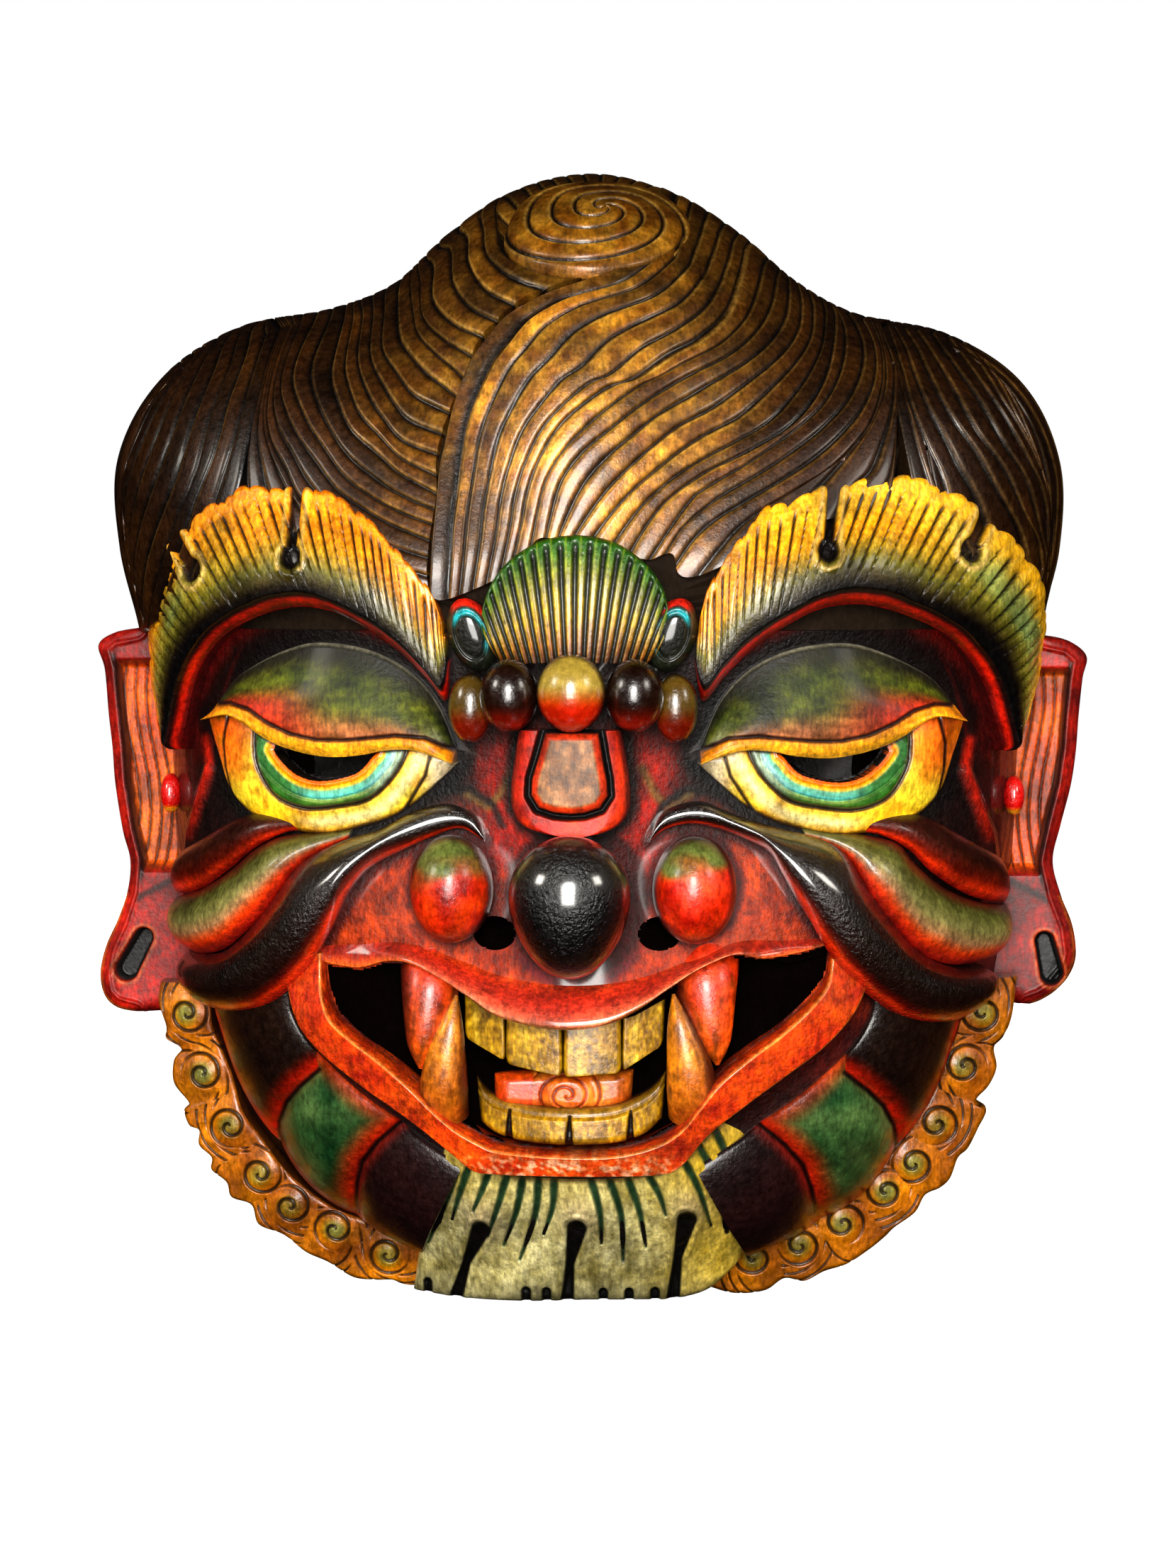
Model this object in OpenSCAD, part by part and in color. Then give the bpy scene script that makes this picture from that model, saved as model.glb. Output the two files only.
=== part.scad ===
// Carved and painted wooden wall mask: fanged guardian face with combed hair, beads, ears and a curled beard.
// Frame: X to the viewer's right, Y into the wall, Z up. The origin is the hang hole's mouth on the wall plane (y = 0).
// Reliefs are laid on one base surface: depth(x, z) is how far the bare wood stands in front of the wall.

/* [Shell] */
// wood left between the hollow and the outside
wall = 13; // [10:0.5:15]
// wood left in front of the hollow
front_wall = 24; // [20:1:28]
// depth of the bare face at the forehead seam
face_depth = 146; // [140:1:150]
// extra wood that carries the combed hair
hair_layer = 7; // [5:0.5:8]

/* [Relief] */
// height of the brow roll at its lower edge
brow_h = 15; // [12:0.5:17]
// height of the cheek folds
fold_h = 14; // [11:0.5:16]
// height of the lips
lip_h = 13; // [10:0.5:15]
// height of the jaw panels
panel_h = 9; // [7:0.5:10]
// thickness of the curled beard fringe
fringe_t = 24; // [18:1:26]

/* [Nose and mouth] */
// radius of the nose bulb
nose_r = 22; // [20:0.5:23]
// radius of the nostril wings
wing_r = 17; // [15:0.5:18]
// radius of the dark brow beads
bead_r = 11.4; // [10:0.2:12]
// root radius of the four tusks
tusk_r = 7.5; // [6:0.5:8]
// depth of the mouth recess
mouth_d = 26; // [20:1:28]

/* [Hanging hardware] */
// hook hole in the hanger plate
hook_d = 10; // [7:0.5:11]
// thickness of the hanger plate
plate_t = 2; // [1.5:0.1:2.5]
// diameter of the ear dowels
dowel_d = 8; // [6:0.5:9]

/* [Hidden] */

hang_z = 300;     // hang hole above the beard's lower edge
seam_z = 256;     // glue line between the face block and the hair block
P = 2.6;          // how square the base is across
Q = 2.2;          // how square it is front to back
peg_z = [151.3, 224.6];
gap = 0.3;        // glue line under each relief

// half-width of the face every 25 mm up from the beard's edge, and its depth on the centre line
WT = [48, 103, 134, 150, 160, 166, 169, 171, 172, 173, 174, 175];
DT = [-51, -28, -16, -10, -6, -4, -3, -3, -3, -2, 0, 0.5];
// silhouette radius of the hair every 10 degrees, from the right seam over the crown to the left seam
RT = [181.5, 190.5, 196.5, 195, 181.5, 164.5, 161, 167, 177, 181, 174.5, 164.5, 157.6, 167, 188, 200, 201, 190.5, 181];
// swellings of the wood: centre x, z, spread x, z, height
BUMPS = [[0, 100, 70, 45, 16], [0, 205, 22, 60, 10], [0, 25, 60, 30, 10], [100, 150, 40, 30, 8], [-100, 150, 40, 30, 8],
  [95, 205, 42, 28, -8], [-95, 205, 42, 28, -8], [95, 275, 55, 22, 8], [-95, 275, 55, 22, 8]];

function lim(v, a, b) = max(a, min(b, v));
function cub(T, s) = let(n = len(T) - 1, i = lim(floor(s), 0, n - 1), f = lim(s - i, 0, 1),
    a = T[max(i - 1, 0)], b = T[i], c = T[i + 1], d = T[min(i + 2, n)])
  b + 0.5 * f * (c - a + f * (2 * a - 5 * b + 4 * c - d + f * (3 * (b - c) + d - a)));
function width_at(z) = cub(WT, z / 25);
function depth_at(z) = face_depth + cub(DT, z / 25);
function crown_r(x, z) = cub(RT, atan2(z - seam_z, x) / 10) - hair_layer;
function lame(u) = pow(max(0, 1 - pow(min(1, abs(u)), P)), 1 / Q);
function bump(x, z) = let(t = [for (b = BUMPS) b[4] * exp(-pow((x - b[0]) / b[2], 2) - pow((z - b[1]) / b[3], 2))])
  t * [for (b = BUMPS) 1];
function bare(x, z) = z < seam_z ? depth_at(z) * lame(x / width_at(z)) : face_depth * lame(norm([x, z - seam_z]) / crown_r(x, z));
function depth(x, z) = let(b = bare(x, z)) b + bump(x, z) * pow(b / 146, 1.5);
function nrm(x, z) = let(e = 0.8, gx = (depth(x + e, z) - depth(x - e, z)) / (2 * e), gz = (depth(x, z + e) - depth(x, z - e)) / (2 * e),
    n = [-lim(gx, -4, 4), -1, -lim(gz, -4, 4)]) n / norm(n);
function lay(p, h) = [p[0], -depth(p[0], p[1]), p[1]] + nrm(p[0], p[1]) * h;

// smooth curve through hand-placed points
function spl(C, t) = let(n = len(C) - 1, s = t * n, i = lim(floor(s), 0, n - 1), f = s - i,
    a = C[max(i - 1, 0)], b = C[i], c = C[i + 1], d = C[min(i + 2, n)])
  b + 0.5 * f * (c - a + f * (2 * a - 5 * b + 4 * c - d + f * (3 * (b - c) + d - a)));
function flip(C) = [for (p = C) [-p[0], p[1]]];
function mix(a, b, t) = a + (b - a) * t;

// closed solid between a front grid and a back grid of (n + 1) by (m + 1) points
module grid_solid(F, B, n, m, rev = false) {
  k = (n + 1) * (m + 1);
  function id(i, j) = i * (m + 1) + j;
  quads = concat(
    [for (i = [0:n - 1], j = [0:m - 1]) [id(i, j), id(i + 1, j), id(i + 1, j + 1), id(i, j + 1)]],
    [for (i = [0:n - 1], j = [0:m - 1]) [k + id(i, j), k + id(i, j + 1), k + id(i + 1, j + 1), k + id(i + 1, j)]],
    [for (i = [0:n - 1]) [id(i, 0), k + id(i, 0), k + id(i + 1, 0), id(i + 1, 0)]],
    [for (i = [0:n - 1]) [id(i, m), id(i + 1, m), k + id(i + 1, m), k + id(i, m)]],
    [for (j = [0:m - 1]) [id(0, j), id(0, j + 1), k + id(0, j + 1), k + id(0, j)]],
    [for (j = [0:m - 1]) [id(n, j), k + id(n, j), k + id(n, j + 1), id(n, j + 1)]]);
  tris = [for (q = quads) each [[q[0], q[1], q[2]], [q[0], q[2], q[3]]]];
  polyhedron(points = concat(F, B), faces = rev ? [for (t = tris) [t[2], t[1], t[0]]] : tris, convexity = 6);
}
// relief laid on the base between curves A and B; height runs h0 (at A) to h1 (at B) with a crown of hc
module relief(A, B, n, m, h0, h1, hc, waves = 0, wave_h = 0, rev = false) {
  function pt(i, j) = mix(spl(A, i / n), spl(B, i / n), j / m);
  function hh(i, j) = mix(h0, h1, j / m) + hc * sqrt(max(0, sin(180 * j / m))) * (0.35 + 0.65 * sqrt(max(0, sin(180 * lim(i / n, 0.02, 0.98)))))
    + wave_h * (waves == 0 ? 0 : abs(sin(180 * waves * i / n)));
  grid_solid([for (i = [0:n], j = [0:m]) lay(pt(i, j), max(1, hh(i, j)))], [for (i = [0:n], j = [0:m]) lay(pt(i, j), gap)], n, m, rev);
}
module slab(f0, f1) { translate([0, -f0, 0]) rotate([90, 0, 0]) linear_extrude(f1 - f0) children(); }
module place() { translate([0, 0, -hang_z]) children(); }
module both(s) { if (s < 0) children(); else mirror([1, 0, 0]) children(); }

// ---- hand-placed outlines, left half, x and z above the beard's edge ----
brow_out = [[-44, 252], [-55, 276], [-75, 296], [-101, 312], [-131, 312], [-157, 293], [-167, 262], [-165, 232], [-158, 212]];
brow_in = [[-42, 246], [-49, 233], [-66, 251], [-88, 265], [-114, 265], [-136, 255], [-148, 240], [-154, 224], [-157, 211]];
lid_top = [[-145, 228], [-136, 238], [-120, 248], [-101, 253], [-82, 251], [-64, 243], [-53, 229], [-46, 214]];
lid_low = [[-143, 226], [-134, 228], [-122, 225], [-108, 217], [-92, 214], [-74, 215], [-58, 215], [-46, 211]];
eye_low = [[-145, 222], [-142, 208], [-136, 194], [-122, 184], [-104, 180], [-84, 182], [-64, 191], [-46, 208]];
slit = [[-115, 214], [-96, 212], [-76, 212], [-78, 209], [-84, 204], [-91, 201], [-99, 200], [-107, 202], [-113, 208]];
fold_a1 = [[-35, 181], [-46, 190], [-62, 189], [-82, 179], [-104, 169], [-120, 149], [-137, 133], [-155, 129]];
fold_a2 = [[-34, 175], [-52, 180], [-67, 174], [-84, 163], [-96, 146], [-110, 127], [-128, 116], [-152, 117]];
fold_b1 = [[-92, 182], [-109, 179], [-126, 172], [-141, 161], [-154, 152], [-160, 148]];
fold_b2 = [[-96, 178], [-106, 170], [-118, 156], [-132, 142], [-148, 134], [-158, 130]];
fold_c1 = [[-104, 184], [-120, 185], [-137, 183], [-150, 177], [-160, 170]];
fold_c2 = [[-112, 181], [-124, 177], [-139, 168], [-152, 159], [-161, 152]];
lip_up = [[-104, 138], [-85, 142], [-62, 141], [-42, 134], [-22, 129], [0, 127], [22, 129], [42, 134], [62, 141], [85, 142], [99, 140]];
lip_edge = [[-104, 133], [-90, 129], [-66, 131], [-44, 122], [-22, 112], [0, 109], [22, 113], [42, 125], [60, 134], [80, 132], [99, 136]];
jaw_out = [[-112, 128], [-109, 112], [-98, 96], [-78, 82], [-59, 70], [-38, 53], [-16, 52], [16, 52], [36, 54], [57, 73], [77, 88], [96, 103], [107, 120], [110, 128]];
jaw_in = [[-97, 129], [-94, 114], [-84, 103], [-68, 91], [-54, 80], [-36, 66], [-16, 61], [14, 61], [36, 70], [52, 86], [68, 101], [83, 113], [92, 124], [95, 131]];
panel_out = [[-142, 111], [-139, 92], [-130, 69], [-116, 48], [-97, 31], [-72, 18]];
panel_in = [[-112, 122], [-108, 104], [-96, 92], [-78, 80], [-66, 70], [-62, 60]];
beard_top = [[-45, 66], [-36, 55], [-22, 51], [0, 50], [22, 51], [38, 56], [50, 70]];
beard_low = [[-68, 2], [-46, 2], [-22, 2], [0, 3], [24, 4], [46, 8], [66, 24]];
fringe_root = [[-155, 119], [-150, 98], [-141, 76], [-129, 56], [-112, 38], [-95, 24], [-74, 12]];
fringe_rim = [[-173, 113], [-169, 91], [-160, 65], [-149, 40], [-131, 18], [-105, 2], [-77, -8]];
ear_line = [[-168, 252], [-182, 256], [-197, 252], [-200, 246], [-196, 226], [-194, 196], [-190, 172], [-188, 154], [-194, 138], [-200, 120],
  [-199, 109], [-190, 102], [-174, 100], [-160, 104], [-156, 125], [-160, 150], [-166, 190], [-171, 230]];
ear_cup = [[-178, 240], [-188, 236], [-188, 214], [-186, 190], [-180, 165], [-175, 165], [-176, 200]];

// ---- the two carved blocks ----
// stations across the face: denser near the rim; the wall's inset is taken off width and depth
function arc_pt(w, d, t) = [w * sign(cos(t)) * pow(abs(cos(t)), 2 / P), d * pow(abs(sin(t)), 2 / Q)];
module face_loft(inset, zs, n, lumps, deep = 0) {
  rows = len(zs) - 1;
  function p(i, k, back) = let(z = zs[k], a = arc_pt(width_at(z) - inset, depth_at(z) - max(inset, deep), 180 * (1 - i / n)),
      f = a[1] + (lumps ? bump(a[0], z) * pow(a[1] / 146, 1.5) : 0)) [a[0], back ? 0 : -f, z];
  pts = [for (k = [0:rows], i = [0:n]) p(i, k, false)];
  m = n + 1;
  sides = [for (k = [0:rows - 1], i = [0:n]) let(j = (i + 1) % m) each [[k * m + i, (k + 1) * m + i, (k + 1) * m + j], [k * m + i, (k + 1) * m + j, k * m + j]]];
  polyhedron(points = pts, faces = concat(sides, [[for (i = [0:n]) i]], [[for (i = [n:-1:0]) rows * m + i]]), convexity = 6);
}
// the crown is lofted over polar stations; extra is the hair's height, eased in above the brows
function brow_line(x) = abs(x) < 40 ? 290 - abs(x) * 0.7 : abs(x) < 100 ? 262 + (abs(x) - 40) * 0.85 : abs(x) < 165 ? 313 - max(0, abs(x) - 125) * 1.2 : 264;
function ease(v) = let(t = lim(v, 0, 1)) t * t * (3 - 2 * t);
module crown_loft(inset, n, rings, hair, deep = 0) {
  function p(i, k) = let(t = 90 * k / rings, a = 180 * i / n, r0 = cub(RT, a / 10) - hair_layer - inset, r = r0 * pow(cos(t), 2 / P), f = (face_depth - max(inset, deep)) * pow(sin(t), 2 / Q),
      x = r * cos(a), z = seam_z + r * sin(a), g = hair ? f + bump(x, z) * pow(f / 146, 1.5) : f,
      h = hair ? hair_layer * max(ease((z - brow_line(x)) / 10), ease((abs(x) - 158) / 12)) : 0,
      nr = [cos(t) * cos(a), -sin(t), cos(t) * sin(a)])
    k == rings ? [0, -(g + h), seam_z] : [x + nr[0] * h, min(0, -g + nr[1] * h), i == 0 || i == n ? seam_z : max(seam_z, z + nr[2] * h)];
  m = n + 1;
  pts = concat([for (k = [0:rings - 1], i = [0:n]) p(i, k)], [p(0, rings)]);
  apex = rings * m;
  faces = concat(
    [for (k = [0:rings - 2], i = [0:n - 1]) each [[k * m + i, k * m + i + 1, (k + 1) * m + i + 1], [k * m + i, (k + 1) * m + i + 1, (k + 1) * m + i]]],
    [for (i = [0:n - 1]) [(rings - 1) * m + i, (rings - 1) * m + i + 1, apex]],
    [[for (i = [n:-1:0]) i]],
    [concat([for (k = [0:rings - 1]) k * m], [apex], [for (k = [rings - 1:-1:0]) k * m + n])]);
  polyhedron(points = pts, faces = [for (f = faces) [for (i = [len(f) - 1:-1:0]) f[i]]], convexity = 6);
}
face_rows = [0, 10, 22, 36, 50, 64, 78, 92, 106, 120, 134, 148, 162, 176, 190, 204, 218, 232, 244, 256];
module face_shell() color("#5a2a1a") place() difference() {
  face_loft(0, face_rows, 32, true);
  translate([0, 0.5, 0]) face_loft(wall, [14, 30, 50, 75, 100, 125, 150, 175, 200, 225, 256.5], 22, false, front_wall);
  slab(132 + 26 - mouth_d, 190) polygon([for (i = [0:26]) spl(jaw_in, i / 26), for (i = [20:-1:0]) spl(lip_edge, i / 20)]);
  for (s = [-1, 1]) both(s) slab(112, 160) polygon(slit);
  for (x = [-30, 30]) translate([x, -176, 135]) rotate([-60, 0, 0]) cylinder(h = 90, d = 11, $fn = 32);
  for (s = [-1, 1], z = peg_z) both(s) translate([-148, -28, z]) rotate([0, -90, 0]) cylinder(h = 40, d = dowel_d, $fn = 32);
}
module hair_crown() color("#6b5320") place() difference() {
  crown_loft(0, 54, 22, true);
  translate([0, 0.5, -0.5]) crown_loft(wall, 24, 9, false, front_wall);
}

// ---- brows, fan, beads, nose ----
module brow(s) { color("#c89a20") place() both(s) relief(brow_out, brow_in, 26, 5, 9, brow_h, 3, rev = true); }
module left_brow() brow(-1);
module right_brow() brow(1);
module brow_curl(s) color("#1f6f78") place() both(s) translate([-41, -158, 258]) rotate([90, 0, 0]) rotate([0, 0, 28]) cylinder(h = 14, r1 = 8.5, r2 = 6.5, $fn = 32);
module left_brow_curl() brow_curl(-1);
module right_brow_curl() brow_curl(1);
module forehead_fan() color("#8aa020") place() relief([[-33, 262], [-28, 278], [-16, 289], [0, 293], [16, 289], [28, 278], [33, 262]],
  [[-29, 249], [-20, 248], [-10, 247], [0, 247], [10, 247], [20, 248], [29, 249]], 22, 4, 9.5, 12, 3, rev = true);
module egg(rx, rz) { rotate_extrude($fn = 48) polygon([for (a = [-90:10:90]) [rx * cos(a), rz * sin(a)]]); }
module centre_bead() color("#c8a050") place() translate([-1, -171, 235]) egg(12.7, 13.5);
module dark_bead(s) color("#2a1a12") place() translate([s * 24, -167, 233]) sphere(r = bead_r, $fn = 48);
module left_dark_bead() dark_bead(-1);
module right_dark_bead() dark_bead(1);
module side_bead(s) color("#8a7a30") place() translate([s * 39, -160, 226]) egg(7, 11.5);
module left_side_bead() side_bead(-1);
module right_side_bead() side_bead(1);
tab_out = [[-21, 219], [-24, 200], [-23, 189], [-15, 184], [0, 181], [14, 184], [20, 190], [20, 202], [17, 219]];
tab_in = [[-9, 217], [-12, 203], [-13, 197], [-10, 193], [-1, 191], [8, 193], [11, 198], [9, 206], [8, 217]];
module nose_tablet() color("#b03018") place() difference() {
  slab(156, 171) polygon(tab_out);
  slab(163, 180) offset(delta = 2.5) polygon(tab_in);
}
module tablet_inlay() color("#b08860") place() slab(163, 173) polygon(tab_in);
module nose_bulb() color("#14100e") place() translate([0, -182, 157]) rotate_extrude($fn = 56)
  polygon([for (a = [-90:7.5:90]) [nose_r * cos(a) * (a < 0 ? 1 - 0.1 * sin(-a) : 1), 25 * sin(a)]]);
module wing(s) color("#b03a20") place() both(s) difference() {
  translate([-44, -158, 161]) rotate([90, 0, 0]) rotate_extrude($fn = 56) polygon([[0, 0], for (a = [0:7.5:90]) [wing_r * cos(a), wing_r * sin(a)]]);
  translate([-30, -120, 143]) rotate([90, 0, 0]) cylinder(h = 90, r = 6.5, $fn = 32);
}
module left_nostril_wing() wing(-1);
module right_nostril_wing() wing(1);

// ---- eyes ----
module eyeball(s) color("#d8b040") place() both(s) difference() {
  relief(eye_low, lid_low, 16, 8, 2.5, 6, 7);
  slab(90, 175) polygon(slit);
}
module left_eyeball() eyeball(-1);
module right_eyeball() eyeball(1);
module eyelid(s) color("#5f7a55") place() both(s) relief(lid_top, lid_low, 16, 5, 3, 13.5, 5, rev = true);
module left_eyelid() eyelid(-1);
module right_eyelid() eyelid(1);

// ---- cheeks ----
module upper_fold(s) color("#7a3020") place() both(s) relief(fold_c1, fold_c2, 14, 5, 2, 3, fold_h - 6, rev = true);
module middle_fold(s) color("#6f7f68") place() both(s) relief(fold_b1, fold_b2, 16, 6, 3, 4, fold_h - 2, rev = true);
module lower_fold(s) color("#241a16") place() both(s) relief(fold_a1, fold_a2, 22, 6, 4, 5, fold_h, rev = true);
module left_upper_cheek_fold() upper_fold(-1);
module left_middle_cheek_fold() middle_fold(-1);
module left_lower_cheek_fold() lower_fold(-1);
module right_upper_cheek_fold() upper_fold(1);
module right_middle_cheek_fold() middle_fold(1);
module right_lower_cheek_fold() lower_fold(1);

// ---- mouth ----
module upper_lip() color("#b23a2a") place() relief(lip_up, lip_edge, 30, 4, 5, lip_h - 2, 3, rev = true);
module lower_lip() color("#c0452a") place() relief(jaw_out, jaw_in, 40, 5, 5, 6, lip_h - 3);
module tooth(P4, f1) { slab(133, f1) polygon(P4); }
module upper_teeth() color("#c8b060") place() intersection() {
  union() {
    tooth([[-43, 122], [-42, 104], [-35, 99], [-27.3, 96], [-27.3, 122]], 152);
    tooth([[-26.8, 122], [-26.8, 95], [-16, 92.5], [-5.2, 91.5], [-5.2, 122]], 154);
    tooth([[-4.8, 122], [-4.8, 91.5], [6, 91.5], [16.8, 92.5], [16.8, 122]], 154);
    tooth([[17.3, 122], [17.3, 93], [25, 96], [33, 103], [33.5, 122]], 152);
  }
  translate([-5, 105, 80]) cylinder(h = 60, r = 259, $fn = 96);
}
module lower_teeth() color("#c8b060") place() difference() {
  intersection() {
    slab(133, 152) polygon([[-37, 86], [-38, 75], [-34, 68], [-20, 64.5], [-3, 63.5], [16, 64.5], [28, 68], [33, 76], [33, 88], [22, 82], [6, 76], [-14, 76], [-28, 79]]);
    translate([-3, 105, 50]) cylinder(h = 60, r = 255, $fn = 96);
  }
  for (x = [-26, -3, 20]) slab(147, 160) translate([x, 60]) square([1, 14]);
}
module tongue() color("#c06a30") place() { slab(133, 141) polygon([[-30, 89], [-31, 79.5], [-14, 76.6], [6, 76.6], [19, 80], [20, 90]]); translate([-2, -141.01, 84]) rotate([90, 0, 0]) cylinder(h = 7, r1 = 6.5, r2 = 5, $fn = 32); }
module tusk(x0, z0, x1, z1, f) { l = norm([x1 - x0, z1 - z0]); translate([x0, -f, z0]) rotate([0, atan2(x1 - x0, z1 - z0), 0]) cylinder(h = l, r1 = tusk_r, r2 = 1.2, $fn = 32); }
module left_upper_tusk() color("#c05a20") place() tusk(-56, 127, -60, 92, 142);
module right_upper_tusk() color("#c05a20") place() tusk(50, 129, 54, 94, 142);
module left_lower_tusk() color("#c08030") place() tusk(-49, 78, -45, 120, 145);
module right_lower_tusk() color("#c08030") place() tusk(43, 79, 38, 120, 145);

// ---- jaw, beard, ears ----
module panels(s) color("#2f4a34") place() both(s) relief(panel_in, panel_out, 27, 6, 2, 3, 3, waves = 3, wave_h = panel_h - 4);
module left_jaw_panels() panels(-1);
module right_jaw_panels() panels(1);
module chin_beard() color("#6f6a38") place() relief(beard_top, beard_low, 26, 7, 4, 9, 7, rev = true);
module fringe_solid() {
  n = 28;
  function o(i) = let(p = spl(fringe_rim, i / n), q = spl(fringe_root, i / n)) mix(p, q, 0.1 - 0.1 * abs(sin(180 * i / 3.5)));
  function row(i) = let(a = spl(fringe_root, i / n), b = o(i)) [[a[0] + 3, -72, a[1] + 1], [mix(a, b, 0.5)[0], -71, mix(a, b, 0.5)[1]], [b[0], -64, b[1]]];
  function rwb(i) = let(r = row(i)) [for (k = [0:2]) [r[k][0] - (k == 0 ? 4 : 0), -72 + fringe_t, r[k][2] - (k == 0 ? 2 : 0)]];
  grid_solid([for (i = [0:n]) each row(i)], [for (i = [0:n]) each rwb(i)], n, 2, true);
}
module fringe(s) { color("#c8951e") place() both(s) fringe_solid(); }
module left_beard_fringe() fringe(-1);
module right_beard_fringe() fringe(1);
module ear(s) color("#b02a1a") place() both(s) difference() {
  slab(10, 42) polygon([for (i = [0:51]) spl(concat(ear_line, [ear_line[0]]), i / 52)]);
  slab(26, 50) polygon(ear_cup);
  slab(0, 50) polygon([[-180, 134], [-187, 130], [-191, 120], [-190, 115], [-184, 119], [-179, 128]]);
  for (z = peg_z) translate([-150, -28, z]) rotate([0, -90, 0]) cylinder(h = 28, d = dowel_d, $fn = 32);
  face_loft(-0.4, [84, 110, 140, 175, 215, 270], 20, false);
}
module left_ear() ear(-1);
module right_ear() ear(1);
module ear_dowels() color("#a08050") place() for (s = [-1, 1], z = peg_z) both(s) translate([-151, -28, z]) rotate([0, -90, 0]) cylinder(h = 26.5, d = dowel_d - 0.05, $fn = 32);

// ---- hanging hardware, set behind the forehead ----
module back_brace() color("#9a7b50") place() difference() {
  intersection() {
    translate([-170, -18, hang_z - 17]) cube([340, 18, 34]);
    crown_loft(wall + 0.8, 24, 9, false, front_wall + 0.8);
  }
  translate([-36, -plate_t, hang_z - 13]) cube([72, 10, 26]);
  translate([0, 1, hang_z]) rotate([90, 0, 0]) cylinder(h = 15, d = hook_d + 6, $fn = 48);
  for (x = [-26, 26]) translate([x, 1, hang_z]) rotate([90, 0, 0]) cylinder(h = 16, d = 3.5, $fn = 24);
}
module hanger_plate() color("#a8a8a0") place() difference() {
  translate([-35.5, -plate_t, hang_z - 12.5]) cube([71, plate_t, 25]);
  translate([0, 1, hang_z]) rotate([90, 0, 0]) cylinder(h = 5, d = hook_d, $fn = 48);
  for (x = [-26, 26]) translate([x, 0, hang_z]) rotate([90, 0, 0]) { translate([0, 0, -0.01]) cylinder(h = plate_t + 0.02, r1 = 3.6, r2 = 1.8, $fn = 32); }
}
module hanger_screws() color("#d0c080") place() for (x = [-26, 26]) translate([x, 0, hang_z]) rotate([90, 0, 0]) {
  cylinder(h = plate_t, r1 = 3.5, r2 = 1.7, $fn = 32);
  translate([0, 0, plate_t]) cylinder(h = 12, r = 1.7, $fn = 24);
}

face_shell();
hair_crown();
left_brow();
right_brow();
left_brow_curl();
right_brow_curl();
forehead_fan();
centre_bead();
left_dark_bead();
right_dark_bead();
left_side_bead();
right_side_bead();
nose_tablet();
tablet_inlay();
nose_bulb();
left_nostril_wing();
right_nostril_wing();
left_eyeball();
right_eyeball();
left_eyelid();
right_eyelid();
left_upper_cheek_fold();
left_middle_cheek_fold();
left_lower_cheek_fold();
right_upper_cheek_fold();
right_middle_cheek_fold();
right_lower_cheek_fold();
upper_lip();
lower_lip();
upper_teeth();
lower_teeth();
tongue();
left_upper_tusk();
right_upper_tusk();
left_lower_tusk();
right_lower_tusk();
left_jaw_panels();
right_jaw_panels();
chin_beard();
left_beard_fringe();
right_beard_fringe();
left_ear();
right_ear();
ear_dowels();
back_brace();
hanger_plate();
hanger_screws();
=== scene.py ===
import math

import bpy
import numpy as np
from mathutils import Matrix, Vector


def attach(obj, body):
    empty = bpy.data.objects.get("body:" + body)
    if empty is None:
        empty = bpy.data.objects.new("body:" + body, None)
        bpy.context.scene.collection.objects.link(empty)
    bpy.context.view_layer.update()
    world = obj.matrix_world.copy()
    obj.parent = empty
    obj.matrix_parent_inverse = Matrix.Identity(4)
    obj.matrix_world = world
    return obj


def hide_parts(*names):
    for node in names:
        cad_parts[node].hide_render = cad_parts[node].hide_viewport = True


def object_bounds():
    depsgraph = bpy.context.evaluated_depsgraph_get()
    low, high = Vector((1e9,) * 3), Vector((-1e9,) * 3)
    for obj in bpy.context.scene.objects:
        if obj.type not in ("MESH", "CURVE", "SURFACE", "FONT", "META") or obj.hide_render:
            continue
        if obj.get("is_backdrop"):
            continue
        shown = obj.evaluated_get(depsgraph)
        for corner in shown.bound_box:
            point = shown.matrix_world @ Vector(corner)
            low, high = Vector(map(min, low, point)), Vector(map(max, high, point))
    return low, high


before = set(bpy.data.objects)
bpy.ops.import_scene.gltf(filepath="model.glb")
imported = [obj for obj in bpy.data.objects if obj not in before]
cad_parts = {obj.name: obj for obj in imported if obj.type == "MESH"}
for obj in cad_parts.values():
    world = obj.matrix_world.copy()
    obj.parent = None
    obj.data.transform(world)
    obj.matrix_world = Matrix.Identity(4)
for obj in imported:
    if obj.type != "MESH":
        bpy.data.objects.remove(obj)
cad_lo, cad_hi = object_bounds()

# Layout frame in mm: x to the right, z up from near the beard's lower edge, F forward of the wall.
HANG_Z = 300.0          # height of the hook hole
SEAM = 256.0            # height where the face block meets the hair block
FACE = 146.0            # depth of the face at its middle
HAIR = 7.0              # thickness of the hair over the face's depth
P, Q = 2.6, 2.2         # powers of the rounded cross section
STEP = 25               # mm between the heights in WT and DT
WALL_GAP = 0.3          # visible pieces end this far in front of the wall
SATURATION = 1.28
GAMMA = 2.2
# Half widths WT and depth changes DT by height; rim radius of the hair block RT and of the combed
# hair HT by each 10 degrees around the seam's middle.
WT = np.array([48, 103, 134, 150, 160, 166, 169, 171, 172, 173, 174, 175], float)
DT = np.array([-51, -28, -16, -10, -6, -4, -3, -3, -3, -2, 0, 0.5], float)
RT = np.array([181.5, 190.5, 196.5, 195, 181.5, 164.5, 161, 167, 177, 181, 174.5, 164.5, 157.6, 167, 188,
               200, 201, 190.5, 181], float)
HT = RT + np.array([-2, 0, 3, 4, 4, 1, 1, 3, 2, 3, 6, 6, 4, 2, 2, 3.5, 5, 5.5, 4])
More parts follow.
